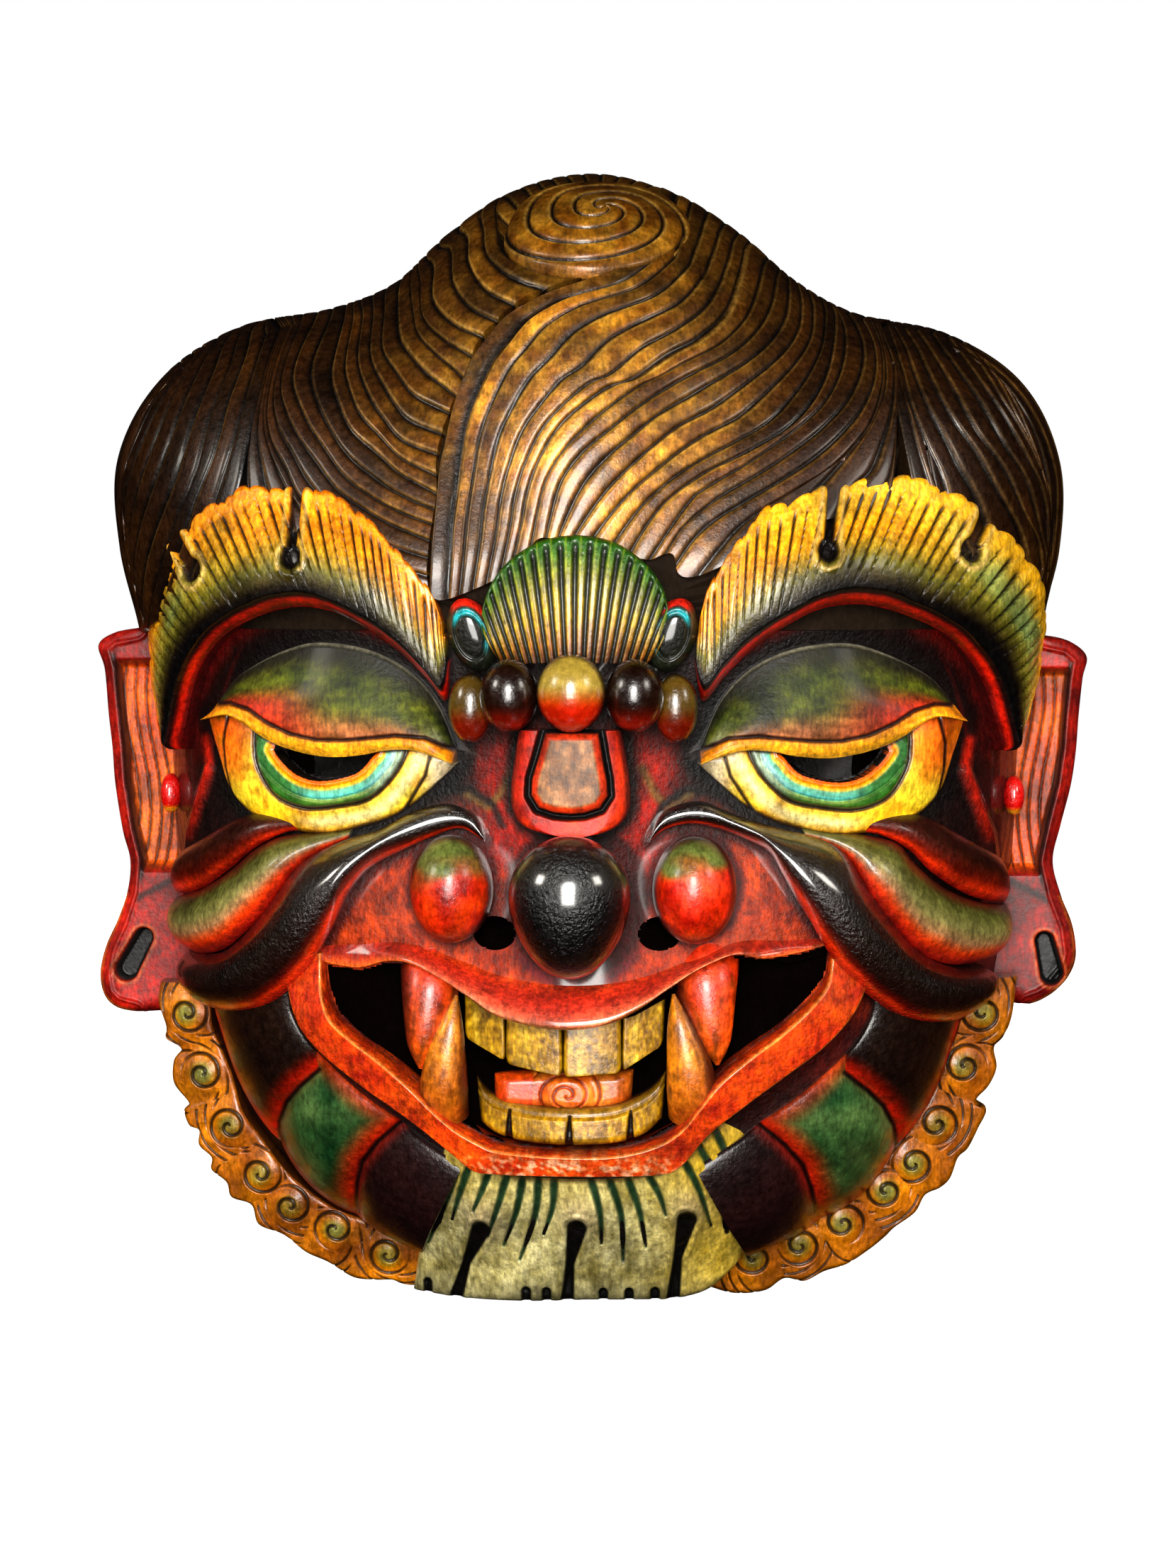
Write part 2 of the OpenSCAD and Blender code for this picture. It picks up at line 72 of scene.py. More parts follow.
# Soft swellings of the base: centre x and z, spreads, height.
BUMPS = [(0, 100, 70, 45, 16), (0, 205, 22, 60, 10), (0, 25, 60, 30, 10), (100, 150, 40, 30, 8),
         (-100, 150, 40, 30, 8), (95, 205, 42, 28, -8), (-95, 205, 42, 28, -8), (95, 275, 55, 22, 8),
         (-95, 275, 55, 22, 8)]


# ---------- the base surface ----------
def cub(T, s):
    """Smooth interpolation of the rows of T at the places s."""
    s = np.asarray(s, float)
    n = len(T) - 1
    i = np.clip(np.floor(s), 0, n - 1).astype(int)
    f = np.clip(s - i, 0, 1)
    if T.ndim == 2:
        f = f[..., None]
    a, b, c, d = T[np.maximum(i - 1, 0)], T[i], T[i + 1], T[np.minimum(i + 2, n)]
    return b + 0.5 * f * (c - a + f * (2 * a - 5 * b + 4 * c - d + f * (3 * (b - c) + d - a)))


def lame(u):
    """Depth of the rounded cross section at u, from 1 in the middle to 0 at 1."""
    return np.maximum(0, 1 - np.minimum(1, np.abs(u)) ** P) ** (1 / Q)


def bump(x, z):
    return sum(h * np.exp(-((x - cx) / sx) ** 2 - ((z - cz) / sz) ** 2) for cx, cz, sx, sz, h in BUMPS)


def bare(x, z):
    """Depth of the face below the seam and of the forehead above it, without the swellings."""
    low = (FACE + cub(DT, z / STEP)) * lame(x / cub(WT, z / STEP))
    phi = np.degrees(np.arctan2(z - SEAM, x))
    top = FACE * lame(np.hypot(x, z - SEAM) / (cub(RT, np.clip(phi, 0, 180) / 10) - HAIR))
    w = ease((z - SEAM + 10) / 20)
    return low * (1 - w) + top * w


def swell(x, z, b):
    """How far the soft swellings stand over a base of depth b."""
    return bump(x, z) * (b / FACE) ** 1.5


def depth(x, z):
    b = bare(x, z)
    return b + swell(x, z, b)


def hair_depth(x, z):
    phi = np.degrees(np.arctan2(np.maximum(z - SEAM, 0), x))
    b = (FACE + HAIR) * lame(np.hypot(x, z - SEAM) / cub(HT, phi / 10))
    return b + swell(x, z, b)


def base_normal(x, z):
    e = 6.0
    gx = np.clip((depth(x + e, z) - depth(x - e, z)) / (2 * e), -4, 4)
    gz = np.clip((depth(x, z + e) - depth(x, z - e)) / (2 * e), -4, 4)
    n = np.stack([-gx, -np.ones_like(gx), -gz], -1)
    return n / np.linalg.norm(n, axis=-1, keepdims=True)


def lay(x, z, h):
    """Points at height h over the bare base."""
    n = base_normal(x, z)
    ahead = np.array([0.0, -1.0, 0.0]) / np.maximum(-n[..., 1:2], 0.62)
    side = 0.25 + 0.6 * ease((0.72 + n[..., 1:2]) / 0.45)
    return np.stack([x, -depth(x, z), z], -1) + (side * n + (1 - side) * ahead) * np.asarray(h)[..., None]


# ---------- small tools ----------
def ease(v):
    t = np.clip(v, 0, 1)
    return t * t * (3 - 2 * t)


def curve(line, n, closed=False):
    """Smooth curve through given points, n + 1 samples evenly spaced along it."""
    p = np.array(line, float)
    if closed:
        p = np.vstack([p[-2:], p, p[:3]])
    d = cub(p, np.linspace(0, len(p) - 1, 40 * (len(p) - 1) + 1))
    if closed:
        d = d[80:80 + 40 * len(line) + 1]
    s = np.concatenate([[0], np.cumsum(np.linalg.norm(np.diff(d, axis=0), axis=1))])
    t = np.linspace(0, s[-1], n + 1)
    return np.stack([np.interp(t, s, d[:, k]) for k in range(p.shape[1])], 1)


def pts(text):
    """Points from text such as "x,z x,z"."""
    return [tuple(float(v) for v in p.split(",")) for p in text.split()]


def line_dist(x, z, line):
    """Distance from every (x, z) to a polyline."""
    best = np.full(x.shape, 1e9)
    p = np.array(line, float)
    for a, b in zip(p[:-1], p[1:]):
        d = b - a
        t = np.clip(((x - a[0]) * d[0] + (z - a[1]) * d[1]) / max(d @ d, 1e-9), 0, 1)
        best = np.minimum(best, np.hypot(x - a[0] - t * d[0], z - a[1] - t * d[1]))
    return best


def tear(x, z, a, b, ra, rb):
    """Signed distance to a tapered drop from a (radius ra) to b (radius rb)."""
    a, b = np.array(a, float), np.array(b, float)
    d = b - a
    t = np.clip(((x - a[0]) * d[0] + (z - a[1]) * d[1]) / (d @ d), 0, 1)
    return np.hypot(x - a[0] - t * d[0], z - a[1] - t * d[1]) - (ra + (rb - ra) * t)


def inside(x, z, line):
    p = np.array(line, float)
    hit = np.zeros(x.shape, bool)
    for (x0, z0), (x1, z1) in zip(p, np.roll(p, -1, 0)):
        if z0 == z1:
            continue
        cross = (z0 > z) != (z1 > z)
        hit ^= cross & (x < (x1 - x0) * (z - z0) / (z1 - z0) + x0)
    return hit


def ramp(t, stops):
    """Colours from stops such as "position,red,green,blue ...", 0 to 255."""
    k, *channels = zip(*pts(stops))
    return np.stack([np.interp(t, k, channel) for channel in channels], -1) / 255


def mix(a, b, t):
    t = np.asarray(t, float)[..., None]
    return np.asarray(a) * (1 - t) + np.asarray(b) * t


def rgb(r, g, b):
    return np.array([r, g, b], float) / 255


def layers(c, *coats):
    """Colour c under further coats, each red, green, blue and how much of it."""
    for r, g, b, t in coats:
        c = mix(c, rgb(r, g, b), t)
    return c


def rough_noise(x, z, scale, seed=0):
    """Cheap smooth value noise, 0 to 1."""
    rng = np.random.default_rng(seed)
    T = rng.random((97, 97))
    u, v = np.asarray(x) / scale + 40, np.asarray(z) / scale + 40
    i, j = np.floor(u).astype(int), np.floor(v).astype(int)
    f, g = ease(u - i), ease(v - j)
    i, j = i % 96, j % 96
    low = T[i, j] * (1 - f) + T[i + 1, j] * f
    high = T[i, j + 1] * (1 - f) + T[i + 1, j + 1] * f
    return low * (1 - g) + high * g


def streaks(x, z, one, two, kx=1.0, kz=1.0):
    """Half a broad and half a fine noise, given as scale and seed; kx and kz squeeze the fine one."""
    return 0.5 * rough_noise(x, z, *one) + 0.5 * rough_noise(x * kx, z * kz, *two)


def lip_in(v, w):
    """0 at v = 0 rising to 1 at v = w along a quarter round."""
    k = np.clip(v / w, 0, 1)
    return np.sqrt(np.maximum(0, 1 - (1 - k) ** 2))


def rims(v, w):
    """Quarter rounds of width w at both ends of v."""
    return np.minimum(lip_in(v, w), lip_in(1 - v, w))


def rounded(u, v, wu, wv):
    return rims(u, wu) * rims(v, wv)


def band(d, w):
    """1 on a line, falling to 0 at distance w."""
    return ease(1 - np.abs(d) / w)


def groove(turns, w):
    """Lines at every half turn of a phase, w wide."""
    return band((turns % 1.0) - 0.5, w)


def hump(v, k=1.0):
    """A sine arch over v from 0 to 1, to the power k."""
    return np.maximum(0, np.sin(math.pi * np.clip(v, 0, 1))) ** k


def scallop(a, k):
    return 1 - np.abs(np.sin(a)) ** k


def between(A, B, n, m):
    """Grids u, v, x and z between curves A and B, given as few points or already evenly spaced."""
    a, b = [np.asarray(k, float) if len(k) == n + 1 else curve(k, n) for k in (A, B)]
    u, v = np.meshgrid(np.linspace(0, 1, n + 1), np.linspace(0, 1, m + 1), indexing="ij")
    g = a[:, None] * (1 - v[..., None]) + b[:, None] * v[..., None]
    return u, v, g[..., 0], g[..., 1]


# ---------- meshes ----------
MATS = {}


def add_mesh(name, V, F, col, mat, replaces=()):
    """V in layout mm, as x, -F, z. Quads or triangles by rows of F, -1 pads a triangle."""
    V = np.asarray(V, float).reshape(-1, 3)
    F = np.asarray(F)
    tri = F[:, 3] < 0
    counts = np.where(tri, 3, 4)
    loops = F.ravel()[F.ravel() >= 0]
    me = bpy.data.meshes.new(name)
    me.vertices.add(len(V))
    co = V.copy()
    co[:, 1] = np.minimum(co[:, 1], -WALL_GAP)
    co[:, 2] -= HANG_Z
    me.vertices.foreach_set("co", (co / 1000).astype(np.float32).ravel())
    me.loops.add(len(loops))
    me.loops.foreach_set("vertex_index", loops.astype(np.int32))
    me.polygons.add(len(F))
    start = np.concatenate([[0], np.cumsum(counts)[:-1]])
    me.polygons.foreach_set("loop_start", start.astype(np.int32))
    me.update(calc_edges=True)
    me.validate()
    me.polygons.foreach_set("use_smooth", np.ones(len(me.polygons), bool))
    a = me.attributes.new("Col", "FLOAT_COLOR", "POINT")
    c = np.ones((len(V), 4), np.float32)
    k = np.clip(np.asarray(col).reshape(-1, 3), 0, 1)
    grey = k.mean(1, keepdims=True)
    c[:, :3] = np.clip(grey + (k - grey) * SATURATION, 0, 1) ** GAMMA
    a.data.foreach_set("color", c.ravel())
    me.materials.append(MATS[mat])
    o = bpy.data.objects.new(name, me)
    bpy.context.scene.collection.objects.link(o)
    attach(o, "root")
    if replaces:
        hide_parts(*replaces)
    return o


def grid_faces(n, m, off=0, rev=False):
    i, j = np.meshgrid(np.arange(n - 1), np.arange(m - 1), indexing="ij")
    a = i * m + j
    f = np.stack([a, a + m, a + m + 1, a + 1], -1).reshape(-1, 4) + off
    return f[:, ::-1] if rev else f


def edge_ids(n, m):
    top = [i * m for i in range(n)]
    right = [(n - 1) * m + j for j in range(1, m)]
    bottom = [i * m + m - 1 for i in range(n - 2, -1, -1)]
    left = [j for j in range(m - 2, 0, -1)]
    return np.array(top + right + bottom + left)


def grid_piece(name, front, col, mat, skirt, replaces=(), drop=None, back=False, skirt_shade=0.45):
    """A relief: front grid (n, m, 3), sides down to the grid `skirt` of the same shape, a back if asked."""
    n, m = front.shape[:2]
    V = [front.reshape(-1, 3)]
    C = [col.reshape(-1, 3)]
    k = n * m
    mid = front[n // 2, m // 2]
    g = np.cross(front[n // 2 + 1, m // 2] - mid, front[n // 2, m // 2 + 1] - mid)
    rev = g @ (mid - skirt[n // 2, m // 2]) < 0
    F = grid_faces(n, m, 0, rev)
    if drop is not None:
        F = F[~drop.reshape(-1)[F].all(1)]
    e = edge_ids(n, m)
    L = len(e)
    V += [front.reshape(-1, 3)[e], skirt.reshape(-1, 3)[e]]
    # the sides are painted darker towards their foot: painted shade
    C += [col.reshape(-1, 3)[e] * 0.9, col.reshape(-1, 3)[e] * skirt_shade]
    r = np.arange(L)
    s = (r + 1) % L
    side = np.stack([k + r, k + L + r, k + L + s, k + s], 1)
    if drop is not None:
        gone = drop.reshape(-1)[e]
        side = side[~(gone[r] & gone[s])]
    faces = [F, side if not rev else side[:, ::-1]]
    if back:
        V.append(skirt.reshape(-1, 3))
        C.append(col.reshape(-1, 3) * 0.35)
        faces.append(grid_faces(n, m, k + 2 * L, not rev))
    return add_mesh(name, np.vstack(V), np.vstack(faces), np.vstack(C), mat, replaces)


def relief(name, A, B, n, m, height, colour, mat, replaces=(), low=-2.0):
    """Relief on the base between curves A and B; height and colour are functions of (u, v, x, z)."""
    u, v, x, z = between(A, B, n, m)
    h = height(u, v, x, z)
    floor = lay(x, z, np.full(x.shape, low))
    return grid_piece(name, lay(x, z, h), colour(u, v, x, z), mat, floor, replaces)


# ---------- materials ----------
def node(tree, kind, operation=None, **inputs):
    """A new node. Each input is either another node's output, which is linked, or a value."""
    made = tree.nodes.new("ShaderNode" + kind)
    if operation:
        made.operation = operation
    for key, val in inputs.items():
        place = made.inputs[key.replace("_", " ") if not key[-1].isdigit() else int(key[-1])]
        if isinstance(val, bpy.types.NodeSocket):
            tree.links.new(val, place)
        else:
            place.default_value = val
    return made


def span(tree, src, a0, a1, b0, b1):
    """Maps src from the range a0 to a1 onto b0 to b1."""
    inputs = {"Value": src, "From_Min": a0, "From_Max": a1, "To_Min": b0, "To_Max": b1}
    return node(tree, "MapRange", **inputs).outputs[0]


def painted(name, rough, coat=0.0, metal=0.0, mottle=0.35, speck=0.25, grain=0.00035, colour=None, spec=0.5,
            coat_rough=0.18, coat_ior=1.5):
    """Lacquer over brushed paint, mottled, pitted and grainy, in the mesh's colours or one colour."""
    m = bpy.data.materials.new(name)
    m.use_nodes = True
    t = m.node_tree
    t.nodes.clear()
    place = node(t, "TexCoord").outputs["Object"]
    long = node(t, "VectorMath", "MULTIPLY", in_0=place, in_1=(1.0, 0.5, 0.24)).outputs[0]

    def noise(scale, detail, harsh, src=place):
        return node(t, "TexNoise", Vector=src, Scale=scale, Detail=detail, Roughness=harsh).outputs[0]

    def times(a, b):
        return node(t, "Math", "MULTIPLY", in_0=a, in_1=b).outputs[0]

    big, fine, pits = noise(48.0, 6.0, 0.68), noise(330.0, 5.0, 0.7), noise(832.0, 4.0, 0.65, long)
    shade = times(times(span(t, big, 0.36, 0.64, 1 - mottle, 1 + mottle * 0.5),
                        span(t, fine, 0.36, 0.64, 1 - mottle * 0.75, 1 + mottle * 0.45)),
                  span(t, pits, 0.42, 0.62, 1 + speck * 0.5, 1 - speck))
    if not colour:
        own = node(t, "Attribute")
        own.attribute_name = "Col"
        colour = own.outputs["Color"]
    paint = node(t, "VectorMath", "SCALE", in_0=colour, Scale=shade)
    paint.name = "paint"
    bump_map = node(t, "Bump", Strength=0.8, Distance=grain, Height=noise(620.0, 3.0, 0.6))
    b = node(t, "BsdfPrincipled", Base_Color=paint.outputs[0], Metallic=metal, Coat_Weight=coat,
             Coat_Roughness=coat_rough, Coat_IOR=coat_ior, Specular_IOR_Level=spec,
             Roughness=span(t, fine, 0.3, 0.7, rough - 0.06, rough + 0.14), Normal=bump_map.outputs[0])
    node(t, "OutputMaterial", Surface=b.outputs[0])
    MATS[name] = m
    return m


painted("hair_paint", rough=0.36, coat=0.35, metal=0.25, mottle=0.6, speck=0.3, grain=0.0003)
painted("gold_paint", rough=0.34, coat=0.4, metal=0.1, mottle=0.55, speck=0.3, grain=0.0004)
painted("enamel", rough=0.32, coat=0.45, mottle=0.55, speck=0.3, grain=0.0004)
painted("gloss", rough=0.28, coat=0.8, coat_rough=0.16, coat_ior=2.1, mottle=0.4, speck=0.15, spec=0.6,
        grain=0.0013)
painted("bead", rough=0.22, coat=0.9, mottle=0.4, speck=0.1, grain=0.0003)
painted("skin", rough=0.48, coat=0.4, coat_rough=0.11, coat_ior=1.9, mottle=0.6, speck=0.35, spec=0.25,
        grain=0.001)
painted("satin", rough=0.5, coat=0.12, mottle=0.6, speck=0.35, spec=0.35, grain=0.0004)

# ---------- combed hair ----------
DEEP = 1.9              # depth of the grooves between strands


def grid_normals(Pn, away):
    """Normals of a grid of points, turned to the side of `away`."""
    n = np.cross(np.gradient(Pn, axis=0), np.gradient(Pn, axis=1))
    n /= np.maximum(np.linalg.norm(n, axis=-1, keepdims=True), 1e-9)
    return -n if (n * away).sum() < 0 else n


def to_polar(p):
    phi = np.degrees(np.arctan2(np.maximum(p[:, 1] - SEAM, 0), p[:, 0]))
    r = np.hypot(p[:, 0], np.maximum(p[:, 1] - SEAM, 0)) / cub(HT, phi / 10)
    return np.stack([phi, np.arccos(np.clip(r, 0, 1) ** (P / 2))], 1)


def from_polar(phi, t):
    r = cub(HT, phi / 10) * np.maximum(np.cos(t), 0) ** (2 / P)
    return r * np.cos(np.radians(phi)), SEAM + r * np.sin(np.radians(phi))


def guide(line, n):
    """A combing line from the rim as x, z, angle and tilt, evenly spaced over the surface."""
    p = np.array(pts(line))
    d = cub(p, np.linspace(0, len(p) - 1, 30 * (len(p) - 1) + 1))
    g = to_polar(d)
    g = np.vstack([np.stack([np.full(40, g[0, 0]), np.linspace(0, g[0, 1], 41)[:-1]], 1), g])
    x, z = from_polar(g[:, 0], g[:, 1])
    f = (FACE + HAIR) * np.sin(g[:, 1]) ** (2 / Q)
    s = np.concatenate([[0], np.cumsum(np.sqrt(np.diff(x) ** 2 + np.diff(z) ** 2 + np.diff(f) ** 2))])
    k = np.linspace(0, s[-1], n + 1)
    return np.stack([np.interp(k, s, x), np.interp(k, s, z), np.interp(k, s, g[:, 0]),
                     np.interp(k, s, g[:, 1])], 1)


def gold_at(x, z):
    """How much gold is left on the hair."""
    g = 1.05 * np.exp(-((x - 2) / 52) ** 2 - ((z - 335) / 62) ** 2)
    g += 0.45 * np.exp(-((x - 5) / 45) ** 2 - ((z - 412) / 26) ** 2)
    g += 0.2 * np.exp(-((x + 60) / 24) ** 2 - ((z - 340) / 40) ** 2) + 0.10 * rough_noise(x, z, 22, 3) ** 2
    return np.clip(g, 0.02, 1)


def hair_colour(f, x, z, shape, seed):
    """f is the place across the strand, 0 to 1, and shape its height there."""
    g = gold_at(x, z) * (0.55 + 0.6 * rough_noise(x, z, 7, seed))
    wear = rough_noise(x, z, 4.5, seed + 40)
    base = mix(rgb(36, 22, 11), mix(rgb(128, 78, 20), rgb(222, 166, 70), wear), np.clip(g, 0, 1))
    c = mix(rgb(10, 7, 5), base, ease(np.clip(shape / 0.95, 0, 1) * 1.3 - 0.3))
    # painted highlight: a pale line along one edge of each groove
    glint = np.exp(-((f - 0.14) / 0.06) ** 2) * (0.35 + 0.6 * g)
    return mix(c, rgb(206, 176, 112), 0.6 * glint)


def from_rim(a0, a1, rows, t0, t1):
    """A combing line with angle and tilt running evenly between two values each."""
    phi, t = np.linspace(a0, a1, rows + 1), np.linspace(t0, t1, rows + 1)
    return np.stack([*from_polar(phi, t), phi, t], 1)


def strand_shape(f):
    """Height across a strand, 0 at its grooves."""
    return (1 - np.abs(2 * f - 1) ** 4.5) ** 0.7


def hair_section(name, guides, coords, rows, per, lift=0.0, side=1, polar=False):
    """Strands along the guides; coords is each guide's strand number, per the columns in a strand."""
    G = np.stack([guide(g, rows) if isinstance(g, str) else g for g in guides])
    n = int(round((coords[-1] - coords[0]) * per))
    s = np.linspace(coords[0], coords[-1], n + 1)
    k = np.interp(s, coords, np.arange(len(coords)))
    g = np.stack([cub(G[:, j], k) for j in range(rows + 1)], 1)
    if polar:
        phi, t = g[..., 2], np.clip(g[..., 3], 0, math.pi / 2)
        x, z = from_polar(phi, t)
        f0 = (FACE + HAIR) * np.sin(t) ** (2 / Q)
    else:
        x, z = g[..., 0], g[..., 1]
        rr = np.hypot(x, z - SEAM)
        R = cub(HT, np.degrees(np.arctan2(np.maximum(z - SEAM, 0), x)) / 10)
        over = np.minimum(1, R / np.maximum(rr, 1e-6))
        x, z = x * over, SEAM + (z - SEAM) * over
        f0 = (FACE + HAIR) * lame(rr * over / R)
    F = f0 + swell(x, z, f0)
    Pn = np.stack([x, -F, z], -1)
    near = ease(2.0 * f0 / (FACE + HAIR))
    out = Pn - np.array([0, 0, SEAM])
    out /= np.linalg.norm(out, axis=-1, keepdims=True)
    N = grid_normals(Pn, out) * near[..., None] + out * (1 - near[..., None])
    N /= np.linalg.norm(N, axis=-1, keepdims=True)
    S = np.repeat(s[:, None], rows + 1, 1)
    S = S + 0.10 * np.sin(np.linspace(0, 1, rows + 1) * 9 + S * 0.9)
    tilt = S % 1.0 if side > 0 else 1 - S % 1.0
    shape = strand_shape(S % 1.0) * (1.05 - 0.25 * tilt)
    h = (shape - 1) * DEEP * (0.25 + 0.75 * near) + DEEP + 0.25 - 1.2 * (1 - near)
    own = (np.sin(np.floor(S) * 12.9898) * 43758.5453) % 1.0    # a fixed brightness for each strand
    col = hair_colour(tilt, x, z, shape, 5) * (0.74 + 0.5 * own)[..., None]
    front = Pn + N * (h + lift * near)[..., None]
    grid_piece(name, front, col, "hair_paint", Pn - out * 7.0)


G_R = ["""24,413 25,407 20,398 11,393 1,389 -7,386 -18,381 -28,375 -35,367 -41,358 -47,341 -50,327
              -52,317 -53,302 -54,290 -55,272""",
       """29,401 22,394 13,388 0,384 -8,381 -19,374 -26,365 -32,356 -39,338 -42,325 -44,311 -46,297
              -47,282 -48,270""",
       "60,405 58,393 53,378 43,368 31,361 19,352 9,348 -6,335 -14,321 -18,309 -20,297 -24,280",
       "70,395 67,382 62,372 53,363 39,355 25,346 9,333 -2,323 -9,311 -13,292",
       "82,393 84,382 84,370 79,360 69,350 55,339 39,331 24,319 13,308 3,294 0,288",
       "93,388 96,378 95,362 90,348 80,335 65,325 49,317 35,307 27,297 20,285",
       "96,383 100,370 98,355 91,341 79,330 64,319 49,310 43,305 28,284",
       "104,379 109,366 109,354 104,342 95,331 83,321 67,311 53,303 43,296 36,286",
       "110,376 114,364 114,350 110,336 102,325 93,317 80,309 60,296 45,278",
       "113,376 118,359 118,348 116,337 110,319 105,312 98,300",
       "114,375 118.5,359 118.8,346 119,336 118,320 116,306 112,290"]
C_R = [0, 1, 6, 7.5, 10.5, 13, 14, 15.5, 17, 19, 20.6]
G_L = ["-34,413 -31,402 -21,395 -10,391.5 0,391",
       "-47,419 -43.4,411 -42,400 -33.6,390 -20,384",
       "-58,408 -52.6,404.6 -49.5,392 -41,382 -30,376",
       "-66,401 -62,395 -59.4,382 -49.5,372 -38.5,366",
       "-72,397 -67,379 -64,369 -56,360 -49,354 -44,349",
       "-80,392 -77,381 -76,366 -70,357 -63,349 -55,345 -48,342",
       "-92,388 -88,379 -87,361 -82,349 -74,338 -66,330 -53,325",
       "-98,386 -96,377 -96,356 -92,345 -86,334 -77,326 -67,317 -53,309",
       "-108,384 -106,376 -108,356 -103,342 -96,330 -87,318 -75,309 -63,303 -54,300",
       "-116,383 -113,375 -115,353 -112,342 -106,331 -99,322 -91,312 -81,305 -70,299 -55,293",
       "-117,375 -120,347 -118,332 -111,320 -104,308 -90,296 -72,286 -56,281",
       "-119.5,375 -122,350 -122,335 -118,322 -111,308 -98,294 -78,280 -57,268",
       "-121,374 -123.5,352 -126,335 -127,318 -125,302 -117,286 -98,270 -75,258"]
C_L = [0, 1.5, 2.8, 4.3, 6.3, 7.6, 9.9, 11.9, 13.5, 14.7, 16.7, 18.4, 20.2]
G_LT = ["-122,373 -123,352 -127,332 -130,314 -136,295 -145,270",
        "-132,380 -138,374 -139,359 -145,338 -149,319 -155,304 -163,285 -170,268 -173,258",
        "-152,369 -159,350 -165,329 -171,313 -178,295 -181,278 -180,260",
        "-163,361 -172,345 -180,327 -185,314 -186,296 -183,278 -181,259"]
G_RT = ["115,374 119,359 119,345 121,335 124,320 128,300",
        "117,376 122,358 126,342 132,327 137,316 141,300 150,280 155,262",
        "129,374 140,353 149,335 160,320 168,304 175,292 178,275 178,260",
        "147,370 158,351 170,332 179,314 182,301 182,285 181,259"]
ROWS = 190
gl = [guide(g, ROWS) for g in G_LT]
gr = [guide(g, ROWS) for g in G_RT]
gl += [from_rim(gl[-1][0, 2], 180, ROWS, t, t) for t in (0.35, 0.0)]
gr += [from_rim(gr[-1][0, 2], 0, ROWS, t, t) for t in (0.35, 0.0)]
hair_section("hair_left_temple", gl, [0, 3, 5.5, 8, 11, 15], ROWS, 14, polar=True, side=-1)
hair_section("hair_right_temple", gr, [0, 3, 6, 9, 12, 16], ROWS, 14, polar=True)
hair_section("hair_left_side", G_L, C_L, 200, 15, side=-1, lift=0.2)
BACK = ((110, 101), (101, 95), (94, 91), (87, 87), (80, 82), (73, 77), (66, 73))
over_top = [from_rim(a0, a1, 110, 0, 0.62) for a0, a1 in BACK]
hair_section("hair_back", over_top, [0, 3, 6, 9, 12, 15, 18], 110, 14, lift=-0.9, polar=True)
hair_section("hair_right_side", G_R, C_R, 230, 14, lift=1.5)


def whorl():
    """The knot of hair on the crown, three strands wound inwards."""
    n, m = 200, 90
    th, rho = np.meshgrid(np.linspace(0, 2 * math.pi, n + 1), np.linspace(0, 1, m + 1), indexing="ij")
    ex = 36 + 1.5 * np.cos(3 * th + 1)
    x = 4 + ex * rho * np.cos(th) + 3 * (1 - rho)
    z = 411 + 4 * (1 - rho) + (21 + 1.2 * np.cos(2 * th)) * rho * np.sin(th)
    R = cub(HT, np.degrees(np.arctan2(z - SEAM, x)) / 10)
    over = np.minimum(1, (R - 0.4) / np.hypot(x, z - SEAM))
    x, z = x * over, SEAM + (z - SEAM) * over
    Pn = np.stack([x, -hair_depth(x, z), z], -1)
    N = grid_normals(Pn, Pn - np.array([0, 0, SEAM]))
    ph = (3 * th / (2 * math.pi) + 4.6 * rho ** 0.85) % 1.0
    shape = strand_shape(ph)
    h = 5.5 * (1 - rho ** 2) ** 0.6 + 2.0 * shape * ease((1.02 - rho) * 9) + 0.3
    col = hair_colour(ph, x, z, shape, 9)
    grid_piece("hair_whorl", Pn + N * h[..., None], col, "hair_paint", Pn - N * 2.0)


whorl()


# ---------- shapes shared by the painted parts ----------
def slab_piece(name, A, B, n, m, front, back, colour, mat, replaces=()):
    """A free-standing plate between curves A and B; front is a function, back its rear depth."""
    u, v, x, z = between(A, B, n, m)
    f = front(u, v, x, z)
    rear = np.stack([x, np.full(x.shape, -float(back)), z], -1)
    near = np.stack([x, -f, z], -1)
    return grid_piece(name, near, colour(u, v, x, z), mat, rear, replaces, back=True)


def ball(name, c, r, colour, mat, replaces=(), n=96, m=64, taper=0.0):
    """An ellipsoid at layout (x, F, z) with radii (rx, rF, rz), narrower below by taper."""
    th, ph = np.meshgrid(np.linspace(0, 2 * math.pi, n + 1), np.linspace(0, math.pi, m + 1), indexing="ij")
    nx, nz, nf = np.sin(ph) * np.cos(th), np.sin(ph) * np.sin(th), np.cos(ph)
    s = 1 - taper * ease(0.5 - nz * 0.5) ** 1.5
    x, z, f = c[0] + r[0] * nx * s, c[2] + r[2] * nz, c[1] + r[1] * nf * s
    V = np.stack([x, -f, z], -1)
    return add_mesh(name, V, grid_faces(n + 1, m + 1, 0, True), colour(nx, nz, x, z), mat, replaces)


